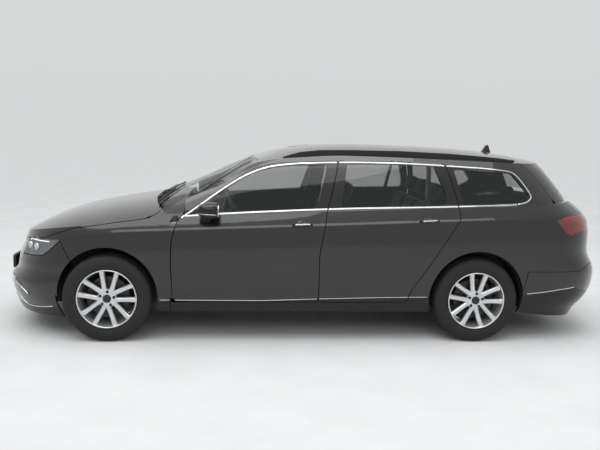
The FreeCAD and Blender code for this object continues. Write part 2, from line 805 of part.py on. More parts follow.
keep_pair("front_door", door(front_door_rows, [front_glass_rows]))
keep_pair("rear_door", door(rear_door_rows, [rear_glass_rows, vent_glass_rows]))

# Glass: thin shells set just inside the glasshouse skin.
glass_outer = house_body(size.glass_setback, size.glass_setback).common(above_belt)
glass_back = size.glass_setback + size.glass_wall
glass_shell = glass_outer.cut(house_body(glass_back, glass_back))
keep_pair("front_door_glass", glass_shell.common(side_prism(front_glass_rows)))
rear_panes = Part.makeCompound([glass_shell.common(side_prism(rows)) for rows in (rear_glass_rows, vent_glass_rows)])
keep_pair("rear_door_glass", rear_panes)
quarter_pane = glass_shell.common(side_prism(quarter_glass_rows))
keep("quarter_glass", Part.makeCompound([quarter_pane, mirrored(quarter_pane)]))

windscreen_rows = both_sides(front_rows(windscreen_front_shares))
cabin_middle = station(pillar_middle_share)
windscreen_zone = full_side_prism(side_rows(windscreen_side_shares))
windscreen_opening = front_prism(windscreen_rows, cabin_middle, half_length, seat).common(windscreen_zone)
windscreen_space = front_prism(windscreen_rows, cabin_middle, half_length).common(
    full_side_prism(side_rows(windscreen_side_shares), -seat))
hood_plan = [(station(s), w * half_width) for s, w in hood_plan_shares]
hood_plan = hood_plan + [(x, -y) for x, y in reversed(hood_plan)]
windscreen = glass_shell.common(windscreen_space).cut(plan_prism(hood_plan, 0.0, size.roof_height, gap))
keep("windscreen", windscreen.common(dropped(roof_solid, seat)))

# Body side: sill, pillars, roof rail and rear quarter, open at the doors, windows and wheel arch.
side_inner = low_body(size.quarter_wall)
side_low_space = side_prism(side_rows(body_side_low_shares), 0.0, 0.0)
side_low = cabin_outer.cut(side_inner).common(side_low_space)
ditch_rows = [(x, share * half_width) for x, share in
              ((station(s), w) for s, w in ditch_shares)]


roof_top = size.roof_height + size.overrun
roof_plan = ditch_rows + [(x, -y) for x, y in reversed(ditch_rows)]
roof_space = plan_prism(roof_plan, size.belt_height, roof_top)
roof = house_shell.common(roof_space)
side_high_space = side_prism(side_rows(body_side_high_shares), 0.0, 0.0)
side_high = house_shell.common(side_high_space).cut(roof_space)
side_high = side_high.cut(windscreen_opening)
tailgate_rows = both_sides(front_rows(tailgate_rear_shares[1:-1]))
tail_front = station(tailgate_front_share)
tailgate_opening = front_prism(tailgate_rows, -half_length - size.overrun, tail_front + gap, gap)


def arch_cut(x, inside, radius):
    return cross_cylinder(radius, x, arch_height, inside, outer_side)


rear_arch = arch_cut(rear_axle, size.rear_liner_inside, size.arch_radius)
front_arch = arch_cut(front_axle, size.front_liner_inside, size.arch_radius)
door_openings = [slanted_prism(rows, gap, door_inside - size.overrun) for rows in (front_door_rows, rear_door_rows)]
body_side = side_low.fuse(side_high)
for opening in door_openings:
    body_side = body_side.cut(opening)
body_side = body_side.cut(side_prism(quarter_glass_rows, seat)).cut(tailgate_opening).cut(rear_arch)
body_side = body_side.cut(side_prism(tail_lamp_rows, seat, lamp_end))
body_side = body_side.cut(side_prism(rear_bumper_rows, gap / 2))

# Inner pillars: columns behind the doors from the sill to the roof rail, clear of the swing of the hinged edges.
column_outer = size.door_wall + gap
column_inner = column_outer + size.pillar_wall
column_ring = low_body(column_outer).cut(low_body(column_inner))
sill_bottom = body_side_low_shares[0][1] * size.roof_height
front_hinge_x = station(front_door_shares[2][0]) - size.hinge_setback
rear_hinge_x = station(rear_door_shares[1][0]) - size.rear_hinge_setback
hinge_y = half_width - size.hinge_inset
rear_hinge_y = half_width - size.rear_hinge_inset
door_lean = size.door_slant * size.door_wall
door_depth = size.door_wall - skin_side(0.0, front_door_rows[0][1])
swing_radius = math.hypot(size.hinge_setback + door_lean, hinge_y + door_depth)
rear_swing_radius = math.hypot(size.rear_hinge_setback + door_lean, rear_hinge_y + door_depth)
firewall_x = station(firewall_share)
columns = box(station(column_front_shares[0]), 0, sill_bottom, firewall_x - seat, outer_side, column_top_share * size.roof_height)
columns = columns.fuse(full_side_prism(side_rows(column_middle_shares)))
column = column_ring.common(columns).cut(above_belt)
column = column.cut(side_inner.common(box(-half_length, -outer_side, 0, half_length, outer_side, floor_top + seat)))
hinge_places = ((front_hinge_x, hinge_y, swing_radius + gap), (rear_hinge_x, rear_hinge_y, rear_swing_radius + gap))
for x, y, radius in hinge_places:
    column = column.cut(Part.makeCylinder(radius, size.roof_height, Vector(x, y, 0)))
upper_outer = size.frame_wall + gap
upper_ring = house_body(upper_outer, upper_outer).cut(
    house_body(upper_outer + size.upper_pillar_wall, upper_outer + size.upper_pillar_wall))
upper = upper_ring.common(full_side_prism(side_rows(upper_pillar_shares))).common(above_belt)
upper = upper.common(dropped(roof_solid, size.roof_wall + seat))
for x, y, radius in hinge_places:
    upper = upper.cut(Part.makeCylinder(radius, belt_line(x - radius) + gap, Vector(x, y, 0)))
body_side = body_side.fuse(column.common(half_car)).fuse(upper.common(half_car))
keep_pair("body_side", body_side.removeSplitter())

# Roof skin between the two ditches, from the windscreen head to the tailgate.
keep("roof_panel", roof.cut(windscreen_opening).cut(tailgate_opening))

# Fenders, hood, front bumper and lamps share the nose shell.
fender_space = side_prism(side_rows(fender_shares), 0.0, 0.0)
fender = nose_shell.common(fender_space).cut(front_arch).cut(door_openings[0])
fender = fender.cut(side_prism(lamp_rows, seat)).cut(side_prism(bumper_rows, gap / 2))
fender = fender.cut(above_line(hood_line, -gap))
edge_radius = math.hypot(size.hinge_setback, size.hinge_inset) + gap
fender = fender.cut(Part.makeCylinder(edge_radius, size.belt_height, Vector(front_hinge_x, hinge_y, 0)))
keep_pair("fender", fender)

hood_space = plan_prism(hood_plan, 0.0, roof_top)
hood = nose_shell.common(above_line(hood_line)).common(hood_space)
keep("hood", hood)

# Front lamps, bumper and grille.
lamp_inner = lamp_inside_share * half_width
lamp_block = nose_outer.cut(low_body(size.lamp_wall))
headlamp = lamp_block.common(side_prism(lamp_rows, -seat, lamp_inner + seat))
keep("headlamps", Part.makeCompound([headlamp, mirrored(headlamp)]))

bumper = nose_shell.common(full_side_prism(bumper_rows, -gap / 2))
under_hood = above_line(hood_line, -gap)
front_face = box(station(nose_face_share), -lamp_inner, size.underbody_height, half_length + size.overrun,
                 lamp_inner, size.roof_height)
bumper = bumper.fuse(nose_shell.common(front_face).cut(under_hood))
bumper = bumper.cut(full_side_prism(lamp_rows, seat).cut(front_face))
grille_rows = both_sides(front_rows(grille_front_shares))
intake_rows = both_sides(front_rows(intake_front_shares))
face_back = station(nose_face_share)
grille_space = front_prism(grille_rows, face_back, half_length + size.overrun)
intake_space = front_prism(intake_rows, face_back, half_length + size.overrun)
bumper = bumper.cut(grille_space).cut(intake_space)
bumper = bumper.cut(cross_cylinder(size.arch_radius, front_axle, arch_height, -outer_side, outer_side))
# Behind its outer skin the bumper keeps clear of the tyres when they are steered.
turning_space = cross_cylinder(size.turning_radius, front_axle, axle_height, -size.turning_side, size.turning_side)
bumper = bumper.cut(turning_space)
floor_cut = box(-half_length, -outer_side, 0, half_length + size.overrun, outer_side, size.underbody_height)
keep("front_bumper", bumper.cut(floor_cut))

bars = []
for rows, count in ((grille_rows, 4), (intake_rows, 3)):
    inside = front_prism(rows, face_back, half_length + size.overrun, -seat)
    outer_piece = nose_outer.cut(low_body(size.grille_depth)).common(inside)
    hole = front_prism(rows, face_back, half_length + size.overrun, -size.grille_bar)
    low_z = min(z for y, z in rows)
    high_z = max(z for y, z in rows)
    for bar in range(1, count):
        z = low_z + (high_z - low_z) * bar / count
        hole = hole.cut(box(face_back, -outer_side, z - size.grille_bar / 2, half_length + size.overrun,
                            outer_side, z + size.grille_bar / 2))
    bars.append(outer_piece.cut(hole))
keep("grille", Part.makeCompound(bars))

# Tailgate, its glass, the tail lamps and the rear bumper.
tail_space = front_prism(tailgate_rows, -half_length - size.overrun, tail_front)
tail_ring = cabin_outer.cut(low_body(size.tailgate_wall))
tail_house = house_outer.common(tail_space).cut(house_body(size.frame_wall, size.tailgate_wall).common(
    dropped(roof_solid, size.tailgate_wall)))
rear_window_rows = both_sides(front_rows(rear_window_rear_shares)[1:-1])
tailgate = tail_ring.common(tail_space).fuse(tail_house)
rear_window_space = front_prism(rear_window_rows, -half_length, station(-0.5))
tailgate = tailgate.cut(front_prism(rear_window_rows, -half_length, station(-0.5), seat))
tailgate = tailgate.cut(full_side_prism(rear_bumper_rows, gap))
tailgate = tailgate.cut(full_side_prism(tail_lamp_rows, seat).cut(
    box(-half_length - size.overrun, -lamp_end, 0, 0, lamp_end, size.roof_height)))
# Its flanks draw in towards the cabin, so that it leaves the rear pillars as it swings.
flank_points = [Vector(station(x), y * half_width, z * size.roof_height) for x, y, z in flank_shares]
wedge_corners = (Vector(0, 0, 0), Vector(size.flank_depth, gap, 0), Vector(size.flank_depth, -size.flank_draft, 0))
for start, end in zip(flank_points[:-1], flank_points[1:]):
    wedge = Part.Face(Part.makePolygon([start + corner for corner in wedge_corners + wedge_corners[:1]]))
    wedge = wedge.extrude(end - start)
    tailgate = tailgate.cut(wedge).cut(mirrored(wedge))
keep("tailgate", max(tailgate.Solids, key=lambda solid: solid.Volume))
keep("rear_window", glass_shell.common(rear_window_space))

tail_lamp_block = cabin_outer.cut(low_body(size.lamp_wall)).common(side_prism(tail_lamp_rows, -seat, lamp_end))
outer_lamp = tail_lamp_block.common(box(-half_length - size.overrun, tail_split + gap / 2, 0, 0, outer_side, size.roof_height))
inner_lamp = tail_lamp_block.common(box(-half_length - size.overrun, lamp_end, 0, 0, tail_split - gap / 2, size.roof_height))
keep("tail_lamps_outer", Part.makeCompound([outer_lamp, mirrored(outer_lamp)]))
keep("tail_lamps_inner", Part.makeCompound([inner_lamp, mirrored(inner_lamp)]))

rear_bumper = low_outer.cut(low_body(size.skin_wall + gap)).common(full_side_prism(rear_bumper_rows, -gap / 2))
flange = low_body(size.skin_wall / 2).cut(low_body(size.skin_wall + gap)).common(full_side_prism(rear_bumper_rows, gap / 2 - seat))
flange = flange.cut(box(-half_length, -bumper_lug_share * half_width, 0, 0, bumper_lug_share * half_width, size.roof_height))
rear_bumper = rear_bumper.fuse(flange).cut(floor_cut)
rear_bumper = rear_bumper.cut(cross_cylinder(size.arch_radius, rear_axle, arch_height, -outer_side, outer_side))
keep("rear_bumper", rear_bumper)

# Floor, wheel housings and the structure round the engine.
floor = low_body(size.quarter_wall + seat).common(full_side_prism(floor_rows))
for side in (1, -1):
    tub = cross_cylinder(size.arch_radius + size.liner_wall, rear_axle, arch_height,
                         size.rear_liner_inside - size.liner_wall, half_width)
    hole = cross_cylinder(size.arch_radius, rear_axle, arch_height, size.rear_liner_inside, outer_side)
    tub = tub.common(low_body(size.quarter_wall + seat)).common(
        box(-half_length, 0, size.sill_height, half_length, outer_side, size.roof_height))
    if side < 0:
        tub = mirrored(tub)
        hole = mirrored(hole)
    floor = floor.fuse(tub).cut(hole)
stub_slot = box(rear_axle - size.beam_width, -outer_side, 0, rear_axle + size.beam_width, outer_side, axle_height + size.beam_wall)
keep("floor_pan", floor.cut(stub_slot))

front_end = station(radiator_share)
wall = size.structure_wall
wing = size.front_liner_inside
arm_top = axle_height - size.knuckle_height / 2 - seat
arm_base = arm_top - size.arm_wall
wing_low = arm_top + seat
structure = box(firewall_x, -outer_side, size.sill_height, firewall_x + wall, outer_side, firewall_top_share * size.roof_height)
structure = structure.common(low_body(size.quarter_wall + seat))
for side in (1, -1):
    low_y = wing - wall if side > 0 else -wing
    panel = box(firewall_x, low_y, wing_low, front_end, low_y + wall, size.wing_high)
    liner = cross_cylinder(size.arch_radius + 2 * size.liner_wall, front_axle, arch_height, wing - wall, half_width)
    liner = liner.cut(cross_cylinder(size.arch_radius + size.liner_wall, front_axle, arch_height, wing, half_width))
    liner = liner.common(low_body(size.skin_wall + seat))
    liner = liner.common(box(firewall_x, 0, size.liner_low, half_length, outer_side, size.roof_height))
    if side < 0:
        liner = mirrored(liner)
    structure = structure.fuse(panel).fuse(liner)
structure = structure.fuse(box(front_end, -wing, wing_low, front_end + wall, wing, size.wing_high))
firewall_top = firewall_top_share * size.roof_height
cowl_front = station(cowl_front_share)
cowl_side = cowl_width_share * half_width
tray = box(firewall_x, -cowl_side, firewall_top - wall, cowl_front, cowl_side, firewall_top)
tray = tray.fuse(box(cowl_front - wall, -cowl_side, firewall_top - wall, cowl_front, cowl_side, size.roof_height))
structure = structure.fuse(tray.common(dropped(deck, size.cowl_drop + size.cowl_wall + seat)))
for side in (1, -1):
    buffer_post = Part.makeCylinder(size.buffer_radius, size.roof_height, Vector(front_end + wall / 2, side * wing * buffer_share, wing_low))
    structure = structure.fuse(buffer_post.common(dropped(deck, size.skin_wall + seat)))
keep("front_structure", structure)

# Cowl panel between the hood and the windscreen, a plate under the hood's level that meets the glass.
cowl = dropped(deck, size.cowl_drop).cut(dropped(deck, size.cowl_drop + size.cowl_wall))
cowl = cowl.common(box(station(pillar_middle_share), -cowl_side, 0, cowl_front, cowl_side, size.roof_height))
glass_clear = size.glass_setback - seat
keep("cowl_panel", cowl.cut(house_body(glass_clear, glass_clear)))

# Engine as one block, and the exhaust under the floor.
engine = document.addObject("Part::Box", "engine_block")
engine.Label = "engine_block"
engine.setExpression("Length", "Sizes.engine_length")
engine.setExpression("Width", "Sizes.engine_width")
engine.setExpression("Height", "Sizes.engine_height")
engine.setExpression(".Placement.Base.x", "Sizes.overall_length / 2 - Sizes.front_overhang - Sizes.engine_length / 2")
engine.setExpression(".Placement.Base.y", "-Sizes.engine_width / 2")
engine.setExpression(".Placement.Base.z", "Sizes.engine_base")
pieces.append(engine)


def revolved_body(label, points, centre, turned):
    """A turned piece: its half profile, across and radius, revolved about the wheel axis."""
    body = document.addObject("PartDesign::Body", label)
    body.Label = label
    sketch = body.newObject("Sketcher::SketchObject", label + "_profile")
    plane = [f for f in body.Origin.OriginFeatures if f.Role == "XY_Plane"][0]
    sketch.AttachmentSupport = [(plane, "")]
    sketch.MapMode = "FlatFace"
    count = len(points)
    for n in range(count):
        sketch.addGeometry(Part.LineSegment(Vector(1, 1 + n, 0), Vector(2, 2 + n, 0)), False)
    for n in range(count):
        sketch.addConstraint(Sketcher.Constraint("Coincident", n, 2, (n + 1) % count, 1))
    for n, (across, radius) in enumerate(points):
        first = sketch.addConstraint(Sketcher.Constraint("DistanceX", -1, 1, n, 1, 1.0))
        sketch.setExpression("Constraints[%d]" % first, across)
        second = sketch.addConstraint(Sketcher.Constraint("DistanceY", -1, 1, n, 1, 1.0))
        sketch.setExpression("Constraints[%d]" % second, radius)
    turn = body.newObject("PartDesign::Revolution", label + "_turned")
    turn.Profile = sketch
    turn.ReferenceAxis = (sketch, ["H_Axis"])
    turn.Angle = 360
    body.Placement = FreeCAD.Placement(centre, FreeCAD.Rotation(Vector(0, 0, 1), turned))
    return body


# Wheels: a turned rim with its hub disc, five pairs of spokes, a tyre and a brake disc on each corner.
tyre_profile = (
    ("-Sizes.tyre_width / 2", "Sizes.rim_radius + Sizes.seat_clearance"),
    ("-Sizes.tyre_width / 2", "Sizes.tyre_radius"),
    ("Sizes.tread_width / 2", "Sizes.tyre_radius"),
    ("Sizes.tyre_width / 2", "Sizes.tyre_radius - Sizes.shoulder_drop"),
    ("Sizes.tyre_width / 2", "Sizes.rim_radius + Sizes.seat_clearance"),
)
corners = (
    ("front_left", front_axle, size.front_track / 2, 1),
    ("front_right", front_axle, -size.front_track / 2, -1),
    ("rear_left", rear_axle, size.rear_track / 2, 1),
    ("rear_right", rear_axle, -size.rear_track / 2, -1),
)
for corner, x, y, side in corners:
    centre = Vector(x, y, axle_height)
    tyre = revolved_body("tyre_" + corner, tyre_profile, centre, 90 * side)
    pieces.append(tyre)
    spokes = []
    hub = Part.makeCylinder(size.hub_face_radius, size.spoke_depth, Vector(size.hub_face_offset, 0, 0), Vector(1, 0, 0))
    rim = Part.makeCylinder(size.rim_radius, size.rim_width, Vector(-size.rim_width / 2, 0, 0), Vector(1, 0, 0))
    rim = rim.cut(Part.makeCylinder(size.rim_radius - size.rim_wall, size.rim_width,
                                    Vector(-size.rim_width / 2, 0, 0), Vector(1, 0, 0)))
    wheel = rim.fuse(hub)
    for pair in range(5):
        for lean in (-1, 1):
            spoke = Part.makeBox(size.spoke_depth, size.spoke_width, size.rim_radius - size.rim_wall / 2 - size.stub_radius,
                                 Vector(size.hub_face_offset, -size.spoke_width / 2 + lean * size.spoke_width, size.stub_radius))
            spoke.rotate(Vector(0, 0, 0), Vector(1, 0, 0), pair * 72 + lean * 6)
            wheel = wheel.fuse(spoke)
    wheel = wheel.cut(Part.makeCylinder(size.rim_radius + size.overrun, size.overrun, Vector(size.rim_width / 2, 0, 0), Vector(1, 0, 0)))
    where = FreeCAD.Placement(centre, FreeCAD.Rotation(Vector(0, 0, 1), 90 * side))
    keep("wheel_" + corner, wheel, where)
    disc = Part.makeCylinder(size.disc_radius, size.disc_wall, Vector(0, 0, 0), Vector(1, 0, 0))
    disc = disc.fuse(Part.makeCylinder(size.hub_face_radius, size.hub_face_offset - seat, Vector(0, 0, 0), Vector(1, 0, 0)))
    disc = disc.cut(Part.makeCylinder(size.stub_radius + seat, size.hub_face_offset, Vector(-1, 0, 0), Vector(1, 0, 0)))
    keep("brake_disc_" + corner, disc, where)

# Steering knuckles with the stub axles, the subframe with its arms, and the rear axle.
kingpin = size.front_track / 2 - size.kingpin_inset
knuckle = box(front_axle - size.knuckle_width / 2, kingpin - size.knuckle_wall / 2, axle_height - size.knuckle_height / 2,
              front_axle + size.knuckle_width / 2, kingpin + size.knuckle_wall / 2, axle_height + size.knuckle_height / 2)
stub = cross_cylinder(size.stub_radius, front_axle, axle_height, kingpin, size.front_track / 2 + size.hub_face_offset - gap)
knuckle = knuckle.fuse(stub)
keep_pair("steering_knuckle", knuckle)

subframe = box(front_axle - size.arm_width * 3, -wing, arm_base, front_axle + size.arm_width * 3, wing, arm_top)
for side in (1, -1):
    low_y = 0 if side > 0 else -kingpin - size.knuckle_wall / 2
    subframe = subframe.fuse(box(front_axle - size.arm_width / 2, low_y, arm_base,
                                 front_axle + size.arm_width / 2, low_y + kingpin + size.knuckle_wall / 2, arm_top))
    mount_y = side * (size.engine_width / 2 - size.engine_mount_width) - size.engine_mount_width / 2
    subframe = subframe.fuse(box(front_axle - size.arm_width, mount_y, arm_base, front_axle + size.arm_width,
                                 mount_y + size.engine_mount_width, size.engine_base - seat))
keep("front_subframe", subframe)

stub_end = size.rear_track / 2 + size.hub_face_offset - gap
axle = cross_cylinder(size.stub_radius, rear_axle, axle_height, -stub_end, stub_end)
axle = axle.fuse(box(rear_axle - size.beam_width / 2, -size.rear_liner_inside + size.overrun, axle_height - size.beam_wall / 2,
                     rear_axle + size.beam_width / 2, size.rear_liner_inside - size.overrun, axle_height + size.beam_wall / 2))
pad_x = rear_axle + size.trailing_arm_length
for side in (1, -1):
    low_y = side * size.trailing_arm_side - size.arm_width / 2
    axle = axle.fuse(box(rear_axle, low_y, axle_height - size.arm_wall, pad_x, low_y + size.arm_width, axle_height + size.arm_wall))
    axle = axle.fuse(box(pad_x - size.arm_width, low_y, axle_height - size.arm_wall, pad_x, low_y + size.arm_width, pan_under - seat))
keep("rear_axle", axle)

exhaust_z = floor_under - size.exhaust_radius - seat
silencer_front = station(silencer_share)
engine_back = front_axle - size.engine_length / 2
downpipe_x = engine_back - size.exhaust_radius - seat
exhaust = Part.makeCylinder(size.exhaust_radius, downpipe_x - silencer_front,
                            Vector(silencer_front, size.exhaust_side, exhaust_z), Vector(1, 0, 0))
downpipe = Part.makeCylinder(size.exhaust_radius, size.engine_base + size.engine_height / 2 - exhaust_z,
                             Vector(downpipe_x, size.exhaust_side, exhaust_z))
silencer_back = silencer_front - size.silencer_length
silencer_top = exhaust_z + size.silencer_height
exhaust = exhaust.fuse(downpipe).fuse(box(silencer_back, size.exhaust_side - size.silencer_width / 2, exhaust_z,
                                          silencer_front + seat, size.exhaust_side + size.silencer_width / 2, silencer_top))
for strap_x in (silencer_back + size.strap_wall, silencer_front - 2 * size.strap_wall):
    exhaust = exhaust.fuse(box(strap_x, size.exhaust_side - size.strap_wall, silencer_top - size.strap_wall,
                               strap_x + size.strap_wall, size.exhaust_side + size.strap_wall, load_under - seat))
keep("exhaust", exhaust)

# Roof rails and aerial seated on the roof.
rail_rows = [place(*row) for row in rail_shares]
rail_inner = ditch_shares[3][1] * half_width - size.rail_width
rail = side_prism(rail_rows, 0.0, rail_inner).common(
    box(-half_length, 0, 0, half_length, rail_inner + size.rail_width, roof_top)).cut(dropped(roof_solid, -seat))
keep("roof_rails", Part.makeCompound([rail, mirrored(rail)]))
fin_rows = [place(*row) for row in fin_shares]
fin = full_side_prism(fin_rows).common(
    box(-half_length, -size.fin_width / 2, 0, half_length, size.fin_width / 2, 2 * size.roof_height)).cut(house_outer)
keep("roof_antenna", fin)

# Seats, bench, their frames on the floor, and the dashboard.
def seat_shape(x, y, wide, top, heads):
    """Cushion and reclined backrest with its head rests; x is the foot of the backrest's front."""
    cushion = box(x - size.backrest_wall / 2, y - wide / 2, top - size.cushion_height, x + size.seat_length, y + wide / 2, top)
    back_top = top + size.backrest_height
    back = box(x - size.backrest_wall, y - wide / 2, top - size.cushion_height, x, y + wide / 2, back_top)
    for head in heads:
        low_y = y + head - size.headrest_width / 2
        back = back.fuse(box(x - size.headrest_wall, low_y, back_top, x, low_y + size.headrest_width, back_top + size.headrest_height))
    back.rotate(Vector(x - size.backrest_wall, 0, top - size.cushion_height), Vector(0, 1, 0), -size.recline)
    return cushion.fuse(back)


front_seat_x = station(front_seat_share)
front_seat = seat_shape(front_seat_x, size.seat_side, size.seat_width, size.seat_top, (0.0,))
keep("front_seats", Part.makeCompound([front_seat, mirrored(front_seat)]))
bench_width = 2 * (size.rear_liner_inside - size.liner_wall - gap)
bench_top = pan_top + size.cushion_height + seat
bench_x = station(rear_seat_share)
keep("rear_bench", seat_shape(bench_x, 0.0, bench_width, bench_top, (-size.seat_side, size.seat_side)))
frame_x = front_seat_x + (size.seat_length - size.seat_frame_length) / 2
seat_frame = box(frame_x, size.seat_side - size.seat_frame_width / 2, floor_top + seat, frame_x + size.seat_frame_length,
                 size.seat_side + size.seat_frame_width / 2, size.seat_top - size.cushion_height - seat)
keep("seat_frames", Part.makeCompound([seat_frame, mirrored(seat_frame)]))

steering_centre = Vector(station(steering_share), size.seat_side, steering_height_share * size.roof_height)
column_turn = FreeCAD.Rotation(Vector(0, 1, 0), -(90 - size.steering_tilt))
column_way = column_turn.multVec(Vector(0, 0, -1))
dash = box(station(dash_back_share), -half_width, dash_low_share * size.roof_height, firewall_x - seat, half_width,
           dash_high_share * size.roof_height)
dash = dash.common(low_body(column_outer))
dash = dash.cut(box(station(column_front_shares[0]) - gap, -outer_side, 0, half_length, outer_side, size.roof_height).cut(
    low_body(column_inner + gap)))
for side in (1, -1):
    dash = dash.cut(Part.makeCylinder(swing_radius + gap, size.roof_height, Vector(front_hinge_x, side * hinge_y, 0)))
column_start = steering_centre + column_way * (size.steering_tube + seat)
dash = dash.fuse(Part.makeCylinder(2 * size.steering_tube, size.column_length, column_start, column_way))
keep("dashboard", dash)

# Steering wheel: ring and spokes on a tilted column.
tube = size.steering_tube
ring = Part.makeCylinder(size.steering_radius + tube, 2 * tube, Vector(0, 0, -tube))
ring = ring.cut(Part.makeCylinder(size.steering_radius - tube, 2 * tube, Vector(0, 0, -tube)))
boss = Part.makeCylinder(3 * tube, 2 * tube, Vector(0, 0, -tube))
bar = Part.makeBox(2 * size.steering_radius, 2 * tube, tube, Vector(-size.steering_radius, -tube, -tube / 2))
keep("steering_wheel", ring.fuse(boss).fuse(bar), FreeCAD.Placement(steering_centre, column_turn))

# Door mirrors.
mirror_x = station(mirror_share)
mirror_low = mirror_low_share * size.roof_height
mirror_high = mirror_high_share * size.roof_height
mirror_root = half_width - size.mirror_root
head_rows = [
    (mirror_x, mirror_low, size.mirror_round), (mirror_x + size.mirror_length, mirror_low, size.mirror_round),
    (mirror_x + size.mirror_length, mirror_high, size.mirror_round), (mirror_x, mirror_high, size.mirror_round),
]
mirror_end = size.mirror_span / 2
head_plan = [
    (mirror_x, mirror_root), (mirror_x + size.mirror_length - size.mirror_round, mirror_root),
    (mirror_x + size.mirror_length, mirror_end - 2 * size.mirror_round, size.mirror_round),
    (mirror_x + size.mirror_length / 2, mirror_end, size.mirror_round), (mirror_x, mirror_end, size.mirror_round / 3),
]
head = Part.Face(outline_wire(head_rows, 0.0, lambda x, z: Vector(x, mirror_end, z)))
head = head.extrude(Vector(0, mirror_root - mirror_end, 0)).common(plan_prism(head_plan, 0.0, size.roof_height))
foot = box(mirror_x + size.mirror_round, half_width - size.mirror_foot, mirror_low - size.mirror_round,
           mirror_x + size.mirror_length - size.mirror_round, half_width, mirror_low + size.mirror_round)
mirror = head.fuse(foot).cut(low_body(-seat)).cut(house_body(-seat, -seat))
keep_pair("door_mirror", mirror)

document.recompute()
for thing in document.Objects:
    if "Invalid" in thing.State or "Error" in thing.State:
        raise RuntimeError("not built: " + thing.Label)
for piece in pieces:
    if piece.Shape.isNull() or not piece.Shape.isValid():
        raise RuntimeError("bad shape: " + piece.Label)
    piece.Shape.exportStep("parts/%s.step" % piece.Label)
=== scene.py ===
import json
import math

import bmesh
import bpy
import numpy as np
from mathutils import Matrix, Vector
from mathutils.bvhtree import BVHTree

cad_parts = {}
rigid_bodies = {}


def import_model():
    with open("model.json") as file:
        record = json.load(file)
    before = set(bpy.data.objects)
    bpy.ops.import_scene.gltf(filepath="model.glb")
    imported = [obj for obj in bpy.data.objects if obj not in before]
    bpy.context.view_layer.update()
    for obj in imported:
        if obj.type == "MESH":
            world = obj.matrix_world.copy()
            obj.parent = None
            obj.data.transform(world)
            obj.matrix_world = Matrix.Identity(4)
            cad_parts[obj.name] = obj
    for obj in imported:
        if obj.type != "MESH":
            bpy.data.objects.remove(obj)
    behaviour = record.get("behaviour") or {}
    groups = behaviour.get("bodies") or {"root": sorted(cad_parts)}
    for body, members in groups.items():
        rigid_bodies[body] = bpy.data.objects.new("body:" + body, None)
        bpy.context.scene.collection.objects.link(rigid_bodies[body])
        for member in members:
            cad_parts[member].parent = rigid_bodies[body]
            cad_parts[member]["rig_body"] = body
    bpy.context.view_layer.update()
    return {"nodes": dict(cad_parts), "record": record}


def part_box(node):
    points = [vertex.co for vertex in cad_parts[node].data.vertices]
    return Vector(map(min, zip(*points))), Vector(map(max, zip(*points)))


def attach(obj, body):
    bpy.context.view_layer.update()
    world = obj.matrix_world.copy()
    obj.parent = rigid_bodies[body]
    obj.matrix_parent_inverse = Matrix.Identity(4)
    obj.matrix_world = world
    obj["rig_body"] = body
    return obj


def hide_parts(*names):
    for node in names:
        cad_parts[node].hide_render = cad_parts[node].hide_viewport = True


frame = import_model()
nodes = frame["nodes"]
mm = 0.001
sides = ((1, "left"), (-1, "right"))
print("frame loaded:", len(nodes), "nodes")

# Camera: found from the two wheels, the sill and the roof line in the photograph.
eye = Vector((0.5227, 6.0547, 1.6615))
yaw, pitch, roll = (math.radians(angle) for angle in (4.626, 8.370, -1.458))
facing = Matrix(((-1, 0, 0), (0, 0, 1), (0, 1, 0)))
facing = Matrix.Rotation(yaw, 3, "Y") @ facing
facing = Matrix.Rotation(pitch, 3, "X") @ facing
facing = Matrix.Rotation(roll, 3, "Z") @ facing
camera = bpy.data.cameras.new("camera")
camera.sensor_width = 36
camera.lens = 42.47
viewer = bpy.data.objects.new("camera", camera)
viewer.matrix_world = Matrix.Translation(eye) @ facing.transposed().to_4x4()
bpy.context.scene.collection.objects.link(viewer)
bpy.context.scene.camera = viewer


def linear(code):
    levels = [int(code[start:start + 2], 16) / 255 for start in (1, 3, 5)]
    return [c / 12.92 if c <= 0.04045 else ((c + 0.055) / 1.055) ** 2.4 for c in levels] + [1.0]


def addNode(owner, kind, inputs=(), **settings):
    tree = owner.node_tree
    node = tree.nodes.new("ShaderNode" + kind)
    for key, value in settings.items():
        setattr(node, key, value)
    for key, value in dict(inputs).items():
        if isinstance(value, bpy.types.NodeSocket):
            tree.links.new(value, node.inputs[key])
        else:
            node.inputs[key].default_value = value
    return node


def setStops(ramp, *stops):
    for element, (position, code) in zip(ramp.color_ramp.elements, stops):
        element.position = position
        element.color = linear(code)


